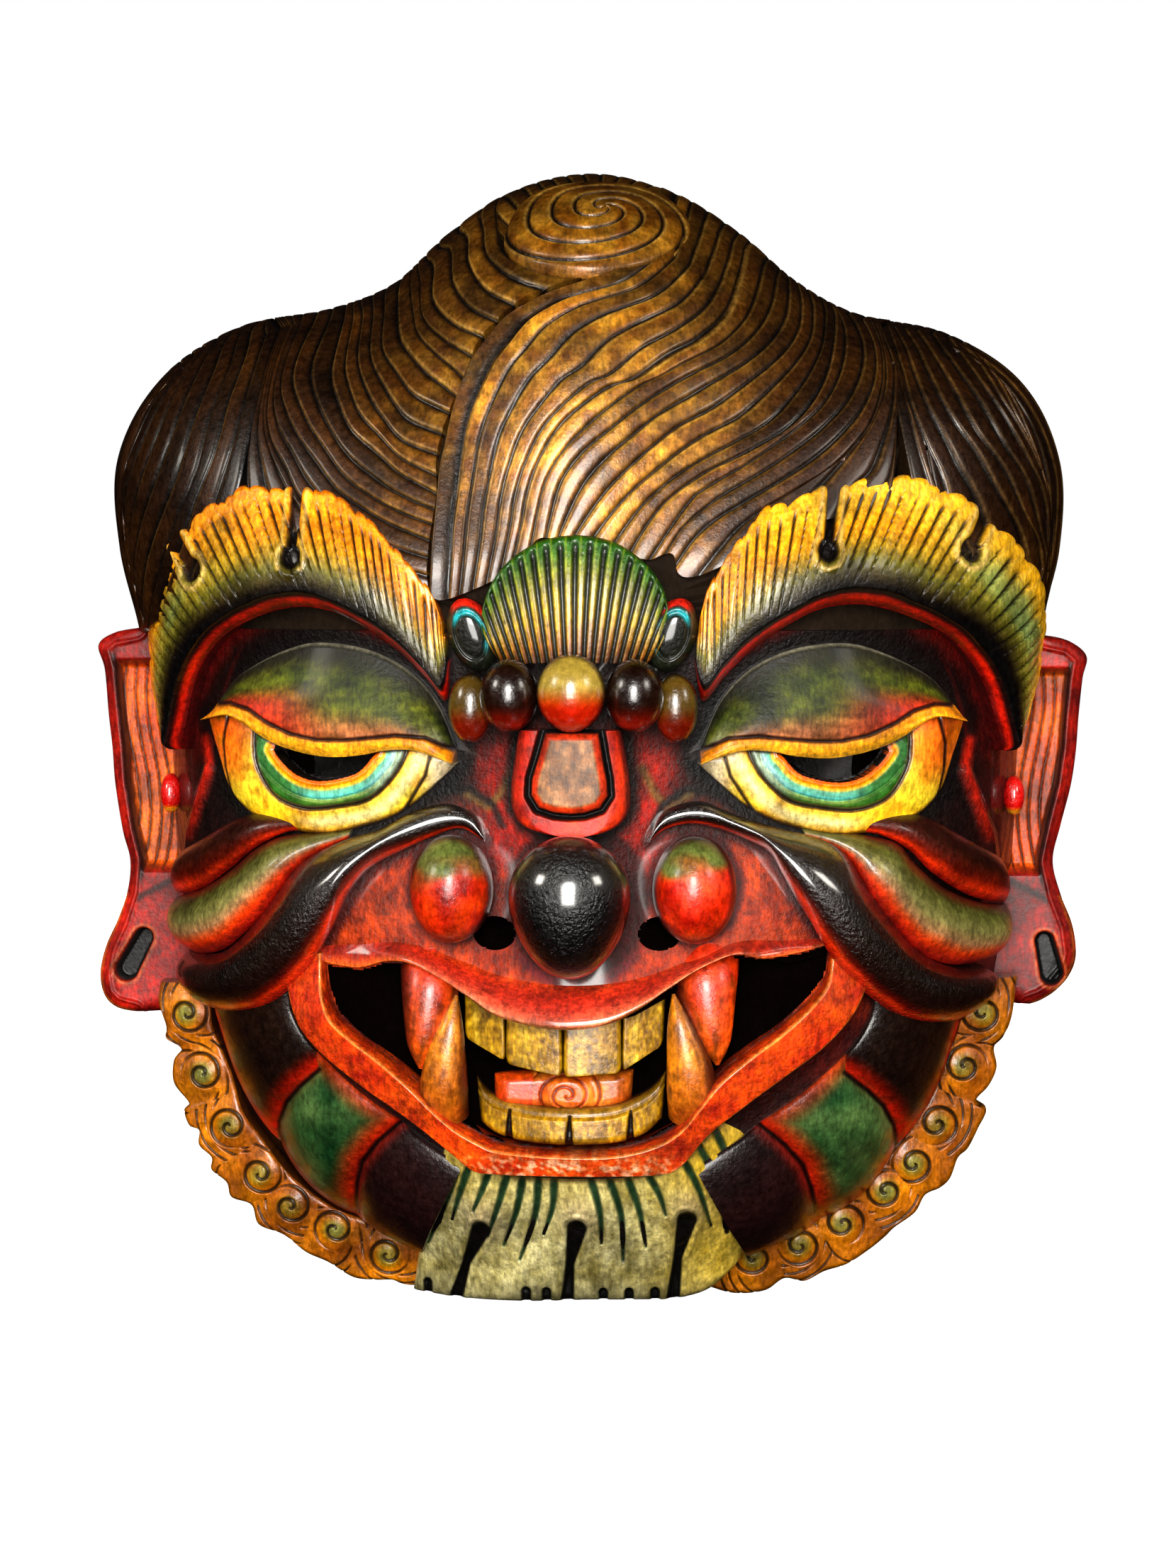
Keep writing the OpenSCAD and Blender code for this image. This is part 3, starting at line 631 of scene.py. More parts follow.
def tube(name, path, radii, colour, mat, replaces, squash, n=120, m=36):
    """A round body swept along layout points (x, F, z) with a radius at each, flatter one way by squash."""
    p = cub(np.array(path, float), np.linspace(0, len(path) - 1, n + 1))
    r = cub(np.array(radii, float), np.linspace(0, len(path) - 1, n + 1))
    q = np.stack([p[:, 0], -p[:, 1], p[:, 2]], 1)
    t = np.gradient(q, axis=0)
    t /= np.linalg.norm(t, axis=1, keepdims=True)
    e1 = np.cross(t, [0, 1, 0])
    e1 /= np.linalg.norm(e1, axis=1, keepdims=True)
    e2 = np.cross(t, e1)
    a = np.linspace(0, 2 * math.pi, m + 1)
    ring = np.cos(a)[:, None] * e1[:, None] + squash * np.sin(a)[:, None] * e2[:, None]
    V = q[:, None] + r[:, None, None] * ring
    U, A = np.meshgrid(np.linspace(0, 1, n + 1), a, indexing="ij")
    col = colour(U, A, V[..., 0], V[..., 2])
    k, last = (n + 1) * (m + 1), n * (m + 1)
    start_cap = [[k, j + 1, j, -1] for j in range(m)]
    end_cap = [[k + 1, last + j, last + j + 1, -1] for j in range(m)]
    faces = np.vstack([grid_faces(n + 1, m + 1), start_cap, end_cap])
    V = np.vstack([V.reshape(-1, 3), q[:1], q[-1:]])
    col = np.vstack([col.reshape(-1, 3), col[0, :1], col[-1, :1]])
    return add_mesh(name, V, faces, col, mat, replaces)


SIDES = (("left", -1), ("right", 1))


def on(s, outline):
    """Points measured on the left half, moved to side s."""
    return outline if s < 0 else [(-x, z) for x, z in outline]


def both(draw):
    for side, s in SIDES:
        draw(side, s)


BLACK = (12, 8, 7)

# ---------- outlines on the layout -----------------------
BROW = {-1: (pts("""-50,262 -55,275 -64,285 -75,297 -87,307 -101,313 -112,312 -121,314 -131,312 -142,307
                    -151,301 -158,293 -163,283 -166,272 -168,260 -168,248 -166,232 -162,218 -158,211"""),
             pts("""-47,246 -49,232 -56,240 -67,251 -80,260 -93,266 -108,267 -125,262 -138,254 -148,240
                    -154,218 -156,210""")),
        1: (pts("""46,262 50,276 58,289 66,300 73,306 85,310 95,313 110,316 123,317 137,313 147,308 154,300
                   163,293 168,286 172,276 174,264 172,248 168,232 163,218 160,211"""),
            pts("""44,246 47,232 55,241 66,252 79,261 92,267 108,268 125,263 139,255 150,240 156,220
                   158,210"""))}
NOTCH = {-1: [((-106, 311), (-106, 285)), ((-157, 296), (-147, 281))],
         1: [((96, 315), (93, 287)), ((153, 303), (146, 288))]}
LID_TOP = pts("-146,224 -136,237 -126,244 -113,250 -101,253 -86,252 -73,248 -62,241 -53,230 -46,213")
LID_LOW = pts("""-144,223 -134,225 -127,222 -121,218 -113,214 -102,211 -92,210 -81,211 -71,213 -60,213
                 -46,208""")
LID_LINE = pts("""-141,229 -133,230 -125,228 -117,223 -108,219 -98,217 -88,217 -77,218 -67,219 -56,218
                  -46,213""")
EYE_LOW = pts("""-146,222 -142,208 -138,196 -131,188 -122,183 -109,180 -96,179 -84,182 -72,186 -62,192
                 -52,201 -45,208""")
RING = pts("-124,221 -124,210 -121,201 -115,193 -104,189 -91,190 -79,193 -70,201 -65,209 -63,216")
SLIT = pts("-115,214 -96,213 -76,213 -77,210 -82,204 -90,201 -98,200 -106,202 -113,208")
FOLD_A = {-1: (pts("""-35,181 -39,188 -49,192 -62,189 -75,182 -87,178 -100,172 -108,166 -114,158 -121,149
                      -130,139 -139,132 -148,130 -156,130"""),
               pts("""-35,178 -44,183 -54,180 -67,174 -78,168 -86,159 -91,149 -97,138 -103,129 -111,120
                      -122,112 -134,109 -147,110 -157,118""")),
          1: (pts("""28,181 29,185 33,190 41,193 48,193 55,190 65,186 78,182 86,180 94,177 101,172 106,164
                     111,156 118,147 125,138 133,131 142,127 152,126"""),
              pts("""27,178 33,183 43,185 53,183 63,179 72,174 77,166 82,157 87,149 92,140 97,132 105,123
                     115,114 125,108 135,106 144,107 152,112 156,120"""))}
FOLD_B = {-1: (pts("-86,182 -100,180 -109,179 -117,177 -126,172 -133,166 -141,160 -151,154 -162,150"),
               pts("-88,178 -100,172 -108,166 -114,158 -121,149 -130,140 -139,133 -150,130 -160,133")),
          1: (pts("84,183 99,181 110,179 120,176 126,169 133,162 141,156 151,151 162,148"),
              pts("86,179 96,175 103,169 108,160 114,151 122,141 130,133 142,128 158,129"))}
FOLD_C = {-1: (pts("-97,183 -110,186 -122,187 -134,184 -147,176 -160,168"),
               pts("-100,180 -112,180 -126,173 -137,164 -150,155 -163,151")),
          1: (pts("95,184 108,187 120,188 133,185 147,176 160,167"),
              pts("98,181 112,180 124,174 134,164 148,154 162,149"))}
LIP_UP = pts("-106,137 -88,142 -66,141 -45,135 -24,129 0,127 24,129 44,135 64,142 84,143 99,142")
LIP_EDGE = pts("""-107,133 -94,130 -83,129 -73,132 -63,132 -51,127 -41,121 -30,114 -15,110 -1,109 12,111
                  23,116 35,124 46,131 59,136 70,134 84,136 98,140""")
JAW_OUT = pts("""-113,134 -112,122 -107,108 -98,97 -82,85 -68,76 -58,69 -47,60 -39,53.5 -30,52.5 -10,52.3
                 15,52.3 32,52.8 39,56 49,68 63,79 77,89 92,100 103,112 109,124 110,136""")
JAW_IN = pts("""-97,135 -96,122 -92,111 -83,103 -73,96 -62,87 -53,78 -45,71 -36,66 -28,63 -10,61.5 12,61.5
                27,65 38,71 46,81 53,90 64,99 75,107 86,117 93,126 95,138""")
PANEL_OUT = pts("-146,114 -142,100 -136,82 -128,66 -117,50 -104,36 -89,25 -64,14")
PANEL_IN = pts("-112,124 -110,110 -102,97 -90,86 -78,77 -68,70 -60,64 -44,54")
PANEL_CUT = [pts("-101,88 -110,80 -116,73 -120,64 -121,50"), pts("-68,70 -78,61 -85,52 -88,42 -90,28")]
TAB_L = pts("-21,221 -22.5,212 -24,200 -23.5,191 -20,185.5 -12,182.5 0,181")
TAB_R = pts("17,221 18.5,212 20,202 20,192 17,186 10,182.5 0,181")
TAB_IN = pts("""-10.5,220 -13,211 -15.5,203 -15.8,197 -13,192.5 -7,190.6 -1,190.2 4,190.6 9.5,192.5
                12.4,197 12,203 10.5,211 9,220""")


def tab_edge(x, z):
    return line_dist(x, z, TAB_L + TAB_R[::-1])


# ---------- bare skin between the reliefs ----------
MUZZLE = rgb(90, 28, 7), rgb(196, 80, 24)
MUZZLE_MIDDLE = rgb(140, 40, 24), rgb(212, 108, 72)
WING_X = {-1: -47, 1: 44.5}                 # middle of each nostril wing
NOSTRIL = (31, 143.5, 8.2, 6.4)             # middle and radii of the right nostril
TEMPLE_FOLD = pts("-149,214 -147,202 -150,194 -153,186 -157,176")
NOSE_RIDGE = pts("-24,206 -29,196 -34,191 -42,196")
NOSE_GROOVE = pts("-28,184 -32,192 -41,198 -54,196")


def from_nostril(s, x, z):
    """Distance from a nostril's middle, 1 on its edge."""
    return np.hypot((x - NOSTRIL[0] * s) / NOSTRIL[2], (z - NOSTRIL[1]) / NOSTRIL[3])


def skin_colour(x, z):
    ax = np.abs(x)
    n = streaks(x, z, (15, 4), (5, 6), 2.0, 0.7)
    c = np.broadcast_to(rgb(22, 10, 8), x.shape + (3,))
    c = mix(c, rgb(70, 18, 11), 0.8 * np.exp(-((ax - 115) / 60) ** 2 - ((z - 100) / 40) ** 2))
    muzzle = ease((78 + 0.7 * (184 - z) - ax) / 14) * ease((200 - z) / 22) * ease((z - 104) / 12)
    c = mix(c, mix(*MUZZLE, n), muzzle)
    below_nose = 0.6 * ease((44 - ax) / 20) * ease((134 - z) / 12) * ease((z - 104) / 12)
    c = mix(c, mix(*MUZZLE_MIDDLE, n), below_nose)
    beside_nose = ease((46 - ax) / 18) * ease((z - 160) / 14) * ease((228 - z) / 20)
    c = mix(c, mix(rgb(84, 15, 4), rgb(168, 42, 8), n), beside_nose)
    for s in (-1, 1):
        lines = [BROW[s][1][2:], FOLD_A[s][1]]
        lines += [on(s, k) for k in (LID_TOP, EYE_LOW, TEMPLE_FOLD, NOSE_RIDGE, NOSE_GROOVE)]
        under_brow, fold_low, lid, eye_low, temple, ridge, dip = [line_dist(x, z, k) for k in lines]
        c = layers(c, (96, 18, 11, 0.8 * ease(1 - under_brow / 8)),
                      (*BLACK, 0.92 * ease(1.4 - lid / 7)),
                      (*BLACK, 0.95 * ease(1.4 - eye_low / 6)),
                      (168, 40, 22, 0.9 * band(temple, 4)),
                      # painted shade: darker below fold A's lower edge and around each nostril wing
                      (40, 10, 7, 0.85 * ease(1.3 - fold_low / 4)),
                      (52, 12, 7, 0.85 * ease((19.5 - np.hypot(x - WING_X[s], (z - 161) / 1.24)) / 3)),
                      (104, 92, 54, 0.8 * band(ridge, 3.2)),
                      (*BLACK, 0.85 * band(dip, 2.6)))
    bulb = np.hypot(x, (z - 156) / 1.12)
    # painted shade in the first four coats: dark under and around the nose bulb, purple-brown just below
    # it, black along the tablet's outline
    c = layers(c, (36, 9, 9, 0.9 * ease((28.5 - bulb) / 3)),
                  (60, 18, 14, 0.7 * ease((34 - bulb) / 12) * (z < 176)),
                  (84, 32, 44, 0.8 * band(bulb - 28.5, 3) * ease((144 - z) / 12)),
                  (*BLACK, 0.9 * ease((6 - tab_edge(x, z)) / 5)),
                  (*BLACK, 0.9 * (z < 60) * (ax < 90)))
    c = mix(c, mix(rgb(34, 11, 7), rgb(66, 18, 9), n), 0.85 * ease((ax - 148) / 14))
    return mix(c, rgb(96, 20, 10), 0.6 * ease((ax - 156) / 8) * ease((z - 170) / 40))


def skin():
    rows = pts("0,60 60,112 112,160 160,208 208,258")
    for k, (z0, z1) in enumerate(rows):
        n, m = 640, int((z1 - z0) / 0.75)
        T, Z = np.meshgrid(np.linspace(0, math.pi, n + 1), np.linspace(z0, z1, m + 1), indexing="ij")
        W, D = cub(WT, Z / STEP), FACE + cub(DT, Z / STEP)
        x = -W * np.sign(np.cos(T)) * np.abs(np.cos(T)) ** (2 / P)
        f = D * np.maximum(np.sin(T), 0) ** (2 / Q)
        h = swell(x, Z, f)
        Pn = np.stack([x, -(f + h), Z], -1)
        N = grid_normals(Pn, np.array([0, -1, 0]))
        ahead = f > 60                      # the front half, which has the openings
        lift = np.full(x.shape, 0.9)
        hole = inside(x, Z, JAW_IN + LIP_EDGE[::-1])
        for s in (-1, 1):
            ridge = on(s, TEMPLE_FOLD[1:] + [(-158, 168)])
            lift = lift + 2.2 * band(line_dist(x, Z, ridge), 4) * (f > 20)
            rho = from_nostril(s, x, Z)
            near = (np.abs(rho - 1) < 0.075) & ahead
            for axis, mid, place in ((0, NOSTRIL[0] * s, x), (2, NOSTRIL[1], Z)):
                on_edge = mid + (place - mid) / np.maximum(rho, 0.1)
                Pn[..., axis] = np.where(near, on_edge, Pn[..., axis])
            hole |= inside(x, Z, on(s, SLIT)) | (rho < 1.075)
        grid_piece(f"skin_{k + 1}", Pn + N * lift[..., None], skin_colour(x, Z), "skin",
                   Pn - N * 1.5, drop=hole & ahead)


skin()


# ---------- brows ----------
def brow(side, s):
    A, B = BROW[s]
    n, m = 420, 96
    a, b = curve(A, n), curve(B, n)
    u = np.linspace(0, 1, n + 1)
    lobes = 0.06 * scallop(math.pi * 12 * u, 0.5) + 0.03 * scallop(math.pi * 31 * u + 0.4, 0.5)
    lobes *= ease(u * 20) * ease((1 - u) * 20)
    a = a + (b - a) * lobes[:, None]

    def phase(u, v):
        return 44 * (u - 0.035 * (v - 0.3))

    def field(u, v, x, z):
        ph = phase(u, v)
        fr = np.abs((ph % 1.0) - 0.5) * 2
        keep = (np.floor(ph).astype(int) % 7 != 6) * 1.0
        gr = ease(1.25 * (1 - (1 - fr) / (0.46 - 0.3 * v))) * keep * ease((v - 0.10) * 10)
        gr = gr * ease((0.80 - 0.07 * np.sin(ph * 0.9) - v) * 5)
        cracks = [tear(x, z, top, end, 1.7, 1.4) for top, end in NOTCH[s]]
        knots = [np.hypot((x - end[0]) * 1.1, (z - end[1]) * 0.9) - 3.6 for _, end in NOTCH[s]]
        return gr, np.minimum.reduce(cracks + knots)

    def height(u, v, x, z):
        gr, nd = field(u, v, x, z)
        roll = 11.5 + 7.0 * ease(v / 0.8) - 9.5 * ease((v - 0.86) / 0.10) + 1.8 * band(v - 0.95, 0.05)
        h = roll * (0.55 + 0.45 * lip_in(v, 0.05)) - 1.9 * gr
        h = h - 4.5 * ease((0.8 - nd) / 1.8) + 1.0 * band(nd - 2.2, 1.8)
        return h * (0.75 + 0.25 * lip_in(u, 0.015)) * (0.6 + 0.4 * lip_in(1 - u, 0.02))

    def colour(u, v, x, z):
        gr, nd = field(u, v, x, z)
        out = ease((np.abs(x) - 118) / 40)
        c = ramp(v + 0.10 * out * (v > 0.05),
                 """0,176,86,8 .06,228,142,12 .36,214,134,16 .52,158,122,30 .66,88,84,32 .76,52,46,22
                    .84,16,11,8 .885,10,8,8""")
        return layers(c, (248, 210, 90, 0.55 * ease((x - 40) / 50) * ease((0.5 - v) / 0.3)),
                         (70, 128, 112, 0.45 * out * ease((v - 0.1) * 5) * ease((0.6 - v) * 5)
                          * (0.4 + rough_noise(x, z, 9, 8))),
                         (236, 214, 140, 0.3 * band(phase(u, v) % 1.0 - 0.36, 0.14) * ease((0.7 - v) * 6)),
                         (16, 10, 7, 0.96 * gr),
                         (198, 42, 16, ease((v - 0.895) / 0.02)),
                         (70, 12, 8, 0.85 * ease((v - 0.925) / 0.06)),
                         (206, 176, 112, 0.75 * band(nd - 2.4, 1.8) * (v < 0.7)),
                         (14, 9, 8, ease((1.2 - nd) / 1.6)))

    relief(f"{side}_brow_carved", a, b, n, m, height, colour, "gold_paint",
           (f"{side}_brow",))


both(brow)


def brow_curl(side, s):
    cx, cz = (-39, 256.5) if s < 0 else (36, 256.5)
    th, rho = np.meshgrid(np.linspace(0, 2 * math.pi, 97), np.linspace(0, 1, 41), indexing="ij")
    x = cx + 9.5 * rho * np.cos(th)
    z = cz + 13 * rho * np.sin(th) + 0.45 * s * (x - cx)
    h = 9 + 8 * np.sqrt(np.maximum(0, 1 - rho ** 2.4)) - 1.6 * band(rho - 0.62, 0.1)
    up = (0.62 * (x - cx) * -s + 0.78 * (z - cz)) / np.maximum(np.hypot(x - cx, z - cz), 0.3)
    c = mix(rgb(14, 12, 10), rgb(30, 34, 24), rho)
    c = layers(c, (52, 168, 176, band(rho - 0.66, 0.15) * ease((up + 0.35) * 1.6)),
                  (196, 44, 24, ease((rho - 0.76) * 10) * ease((up - 0.05) * 2.2)))
    floor = lay(x, z, np.full(x.shape, -2.0))
    grid_piece(f"{side}_brow_scroll", lay(x, z, h), c, "skin", floor,
               (f"{side}_brow_curl",))


both(brow_curl)


# ---------- forehead fan ----------
RIBS = 20


def fan():
    A = pts("-35,258 -35,266 -32,275 -26,283 -17,289.5 -9,292.5")
    B = pts("-30,250 -27,247 -20,246 -14,246 -8,246 -4,246")
    A, B = A + [(0, 293.5)] + on(1, A)[::-1], B + [(0, 246)] + on(1, B)[::-1]

    def g(u, v):
        return ease(1.25 - (0.5 - np.abs((RIBS * u) % 1.0 - 0.5)) / 0.26) * ease((v - 0.03) * 12)

    def height(u, v, x, z):
        return (8 + 9 * hump(0.12 + v * 0.7, 0.5)) * (0.7 + 0.3 * lip_in(v, 0.05)) - 2.0 * g(u, v)

    def colour(u, v, x, z):
        c = ramp(v, "0,28,62,18 .1,48,88,18 .3,108,108,14 .6,146,118,14 .85,112,70,14 1,56,26,12")
        # painted highlight: a pale line along each rib
        return layers(c, (222, 200, 76, 0.3 * band((RIBS * u) % 1.0 - 0.38, 0.12)),
                         (18, 22, 12, 0.95 * g(u, v)))

    relief("forehead_fan_ribbed", A, B, 340, 60, height, colour, "gold_paint",
           ("forehead_fan",))


fan()


# ---------- beads, tablet, nose ----------
def bead(name, x, f, z, radii, top, low, split):
    def colour(nx, nz, x, z):
        c = mix(rgb(*low), rgb(*top), ease((nz - split + 0.35) / 0.7))
        return mix(c, rgb(*BLACK), 0.65 * ease((np.hypot(nx, nz) - 0.86) / 0.14))

    ball(f"{name}_painted", (x, f, z), radii, colour, "bead", (name,))


bead("centre_bead", -1, 171, 235, (12.9, 12.7, 14.6), (150, 130, 66), (156, 38, 12), -0.1)
for side, s in SIDES:
    bead(f"{side}_dark_bead", 23.4 * s - 1, 167, 234, (11, 11.4, 13.6), (24, 14, 10), (96, 22, 12), -0.5)
    bead(f"{side}_side_bead", 38.5 * s - 1, 158, 229, (8.4, 8, 13), (74, 58, 26), (88, 26, 12), -0.2)


def tab_field(x, z):
    return line_dist(x, z, TAB_IN + TAB_IN[:1]) * np.where(inside(x, z, TAB_IN), -1, 1)


def tablet_colour(u, v, x, z):
    d = tab_field(x, z)
    c = mix(rgb(110, 20, 8), rgb(196, 60, 20), rough_noise(x, z, 6, 12))
    c = layers(c, (*BLACK, ease((3.6 - d) / 1.6)),
                  (196, 64, 30, ease((0.4 - d) / 0.8)))
    c = mix(c, mix(rgb(112, 74, 44), rgb(180, 134, 96), rough_noise(x, z, 3.2, 11)), ease((-1.6 - d) / 1.4))
    return mix(c, rgb(60, 16, 10), 0.8 * np.maximum(ease(1 - v / 0.05), ease(1 - (1 - v) / 0.05)))


def tablet_front(u, v, x, z):
    d = tab_field(x, z)
    body = 160 + 10 * rounded(0.5, v, 1, 0.16) * (0.4 + 0.6 * lip_in(1 - u, 0.1)) + 3 * (1 - (x / 30) ** 2)
    return body - 7 * ease((3.2 - d) / 1.6) + 9.5 * lip_in(np.maximum(0, 1.0 - d), 4.0)


slab_piece("nose_tablet_carved", TAB_L, TAB_R, 150, 130, tablet_front, 150, tablet_colour, "satin",
           ("nose_tablet", "tablet_inlay"))


def bulb_colour(nx, nz, x, z):
    return mix(rgb(10, 7, 8), rgb(52, 22, 36), ease((-nz - 0.62) / 0.35))


ball("nose_bulb_glossy", (-1, 181, 156), (24.2, 23, 26.6), bulb_colour, "gloss",
     ("nose_bulb",), n=140, m=100, taper=0.2)


def wing_colour(nx, nz, x, z):
    n = rough_noise(x, z, 6, 17)
    c = mix(mix(rgb(150, 30, 12), rgb(214, 72, 30), n), rgb(84, 92, 50),
            ease((nz - 0.12 + 0.5 * (n - 0.5)) / 0.5))
    return layers(c, (140, 120, 122, 0.6 * ease((-nz - 0.72) / 0.3)),
                     (34, 10, 7, 0.9 * ease((np.hypot(nx, nz) - 0.84) / 0.16)))


for side, s in SIDES:
    ball(f"{side}_wing_painted", (WING_X[s], 156, 161), (15.8, 19, 20.5), wing_colour, "enamel",
         (f"{side}_nostril_wing",), n=120, m=84)


# ---------- eyes ----------
def eye(side, s):
    top = curve(on(s, LID_LOW), 220)
    slit, ring = curve(SLIT, 40, closed=True), curve(RING, 48)

    def reg(x, z):
        """x on the left half, and distances from the slit, the ring and the two outer lines."""
        X = -x * s
        ds, dr = [line_dist(X, z, k) * np.where(inside(X, z, k), -1, 1) for k in (slit, ring)]
        d1 = line_dist(X, z, pts("-135,226 -138,214 -138,204 -136,192"))
        d2 = line_dist(X, z, pts("-54,214 -57,203 -66,189"))
        return X, ds, dr, d1, d2

    def height(u, v, x, z):
        _, ds, dr, d1, d2 = reg(x, z)
        h = 3 + 4 * v + 8.5 * hump(v * 0.86, 0.6) * hump(u, 0.5)
        h = h * (0.35 + 0.65 * lip_in(v, 0.08))
        h = h - 1.3 * band(dr, 1.3) - 1.1 * band(d1, 1.1) - 1.0 * band(d2, 1.0) + 0.9 * ease((-dr) / 2.0)
        h = h - 0.9 * band(ds - 7.5, 0.9) + 0.7 * band(ds - 1.4, 1.3)
        return np.where(ds < -0.2, np.minimum(h, -6), h)

    def colour(u, v, x, z):
        X, ds, dr, d1, d2 = reg(x, z)
        n = rough_noise(x, z, 5, 21)
        c = ramp(np.clip((z - 180) / 40, 0, 1), "0,228,156,34 .3,252,208,74 .7,252,202,84 1,234,150,60")
        c = layers(c, (214, 84, 28, 0.7 * ease((-124 - X) / 8) * ease((z - 192) / 18) * (dr > 0)),
                      (176, 112, 34, 0.5 * ease((n - 0.55) / 0.3) * (dr > 0)),
                      # painted highlight: a pale band round the outside of the ring
                      (255, 242, 190, 0.8 * band(dr - 5, 4.5) * ease((X + 116) / 20)),
                      (214, 206, 190, 0.8 * ease((X + 62) / 10) * (dr > 0)))
        iris = ramp(ds, """0,210,92,20 2,240,140,30 3.2,246,178,56 4.2,110,170,140 7,86,166,160
                           7.8,120,140,70 9.4,52,84,34 12,66,84,34 20,96,96,44""")
        iris = mix(iris, rgb(44, 84, 34), 0.85 * ease((-100 - X) / 12) * ease((ds - 3.4) / 1.0))
        iris = mix(iris, rgb(176, 186, 190), 0.6 * ease((X + 84) / 14) * ease((ds - 4.6) / 1.5))
        c = mix(c, iris, ease((-dr + 0.2) / 0.6))
        for d, w in ((dr, 1.5), (d1, 1.3), (d2, 1.2)):
            c = mix(c, rgb(22, 14, 12), 0.94 * band(d, w))
        return layers(c, (30, 14, 10, 0.9 * ease(1 - v / 0.07)),
                         (24, 10, 8, 0.85 * ease((v - 0.93) / 0.07)),
                         (4, 3, 3, (ds < 0.1) * 1.0))

    relief(f"{side}_eye_painted", on(s, EYE_LOW), top, 220, 110, height, colour, "enamel",
           (f"{side}_eyeball",))

    def lid_height(u, v, x, z):
        h = 3 + 12.5 * ease(v * 1.05) + 6 * hump(v, 0.8) * hump(u, 0.6)
        d = line_dist(-x * s, z, LID_LINE)
        return h * (0.55 + 0.45 * lip_in(v, 0.04)) - 1.6 * band(d, 1.2) + 0.8 * band(v - 0.93, 0.1)

    def lid_colour(u, v, x, z):
        X = -x * s
        d = line_dist(X, z, LID_LINE)
        below = ease((np.interp(X, *zip(*LID_LINE)) - z) / 0.8)
        n = rough_noise(x, z, 7, 23)
        m = rough_noise(x, z * 3.2, 6, 24)
        c = mix(rgb(20, 28, 8), rgb(96, 100, 32), 0.6 * n + 0.4 * m)
        c = mix(c, rgb(20, 18, 12), 0.85 * ease((0.30 - v) / 0.26))
        c = mix(c, mix(rgb(120, 70, 44), rgb(190, 120, 92), m), 0.85 * ease((v - 0.50) / 0.28))
        c = layers(c, (164, 40, 18, 0.8 * ease((-90 - X) / 30) * ease((v - 0.30) / 0.3)),
                      (176, 176, 160, 0.6 * ease((X + 62) / 12) * ease((v - 0.2) / 0.3)),
                      # painted highlight: a thin pale line along the lid's top edge
                      (120, 116, 104, 0.8 * ease((0.03 - v) / 0.015)))
        c = mix(c, ramp(np.clip((v - 0.8) * 5, 0, 1), "0,226,140,36 1,238,178,60"), below)
        return mix(c, rgb(26, 12, 10), 0.94 * band(d, 1.5))

    relief(f"{side}_lid_painted", on(s, LID_TOP), on(s, LID_LOW), 240, 90, lid_height, lid_colour,
           "satin", (f"{side}_eyelid",))


both(eye)


# ---------- cheek folds ----------
def fold(name, A, B, rise, stops, mat, slot, node_name):
    def height(u, v, x, z):
        body = hump(0.05 + v * 0.9, 0.6)
        return 2.5 + rise * body * (0.25 + 0.75 * ease(u * 2.2)) * (0.35 + 0.65 * lip_in(1 - u, 0.12))

    def colour(u, v, x, z):
        n = rough_noise(x, z, 8, 31)
        c = ramp(np.clip(v + 0.05 * (n - 0.5), 0, 1), stops)
        return mix(c, rgb(*BLACK), 0.6 * ease(1 - v / 0.06))

    relief(name, A, B, 260, 60, height, colour, mat, (node_name,))


# Shared by the two sides: place on the cheek, letter, outlines, height, colours, material and slot.
FOLDS = [("upper", "c", FOLD_C, 9, "0,20,12,10 .35,44,20,12 .66,80,24,12 .84,198,56,24 1,150,32,14",
          "enamel", "lacquer_red"),
         ("middle", "b", FOLD_B, 13,
          "0,36,26,16 .18,70,72,38 .45,108,104,66 .62,146,110,80 .8,206,66,30 1,140,26,12",
          "enamel", "moss_green"),
         ("lower", "a", FOLD_A, 16,
          "0,14,10,9 .45,22,15,11 .74,28,14,10 .83,80,20,10 .9,206,60,22 1,140,30,14",
          "gloss", "black_gloss")]
for side, s in SIDES:
    for place, letter, outlines, rise, stops, mat, slot in FOLDS:
        fold(f"{side}_fold_{letter}", *outlines[s], rise, stops, mat, slot, f"{side}_{place}_cheek_fold")


# ---------- lips, teeth, tusks, tongue ----------
def upper_lip_height(u, v, x, z):
    full = 0.32 + 0.68 * ease((84 - np.abs(x)) / 40)
    return -0.6 + 13.5 * ease(v * 1.1) ** 0.8 * full - 2.5 * ease((v - 0.93) / 0.07)


def upper_lip_colour(u, v, x, z):
    n = rough_noise(x, z, 9, 41)
    c = ramp(np.clip(v + 0.12 * (n - 0.5), 0, 1),
             "0,166,46,26 .3,168,44,28 .6,164,56,42 .82,196,92,66 .95,224,146,112 1,110,26,14")
    corner = mix(rgb(120, 32, 14), rgb(206, 96, 42), ease((v - 0.5) * 2))
    c = mix(c, corner, 0.8 * ease((np.abs(x) - 56) / 16))
    k = streaks(x, z, (15, 4), (5, 6), 2.0, 0.7)
    top = mix(mix(*MUZZLE, k), mix(*MUZZLE_MIDDLE, k), 0.6 * ease((44 - np.abs(x)) / 20))
    return mix(top, c, ease(v / 0.5))


relief("upper_lip_carved", LIP_UP, LIP_EDGE, 420, 48, upper_lip_height, upper_lip_colour, "skin",
       ("upper_lip",), low=-16)


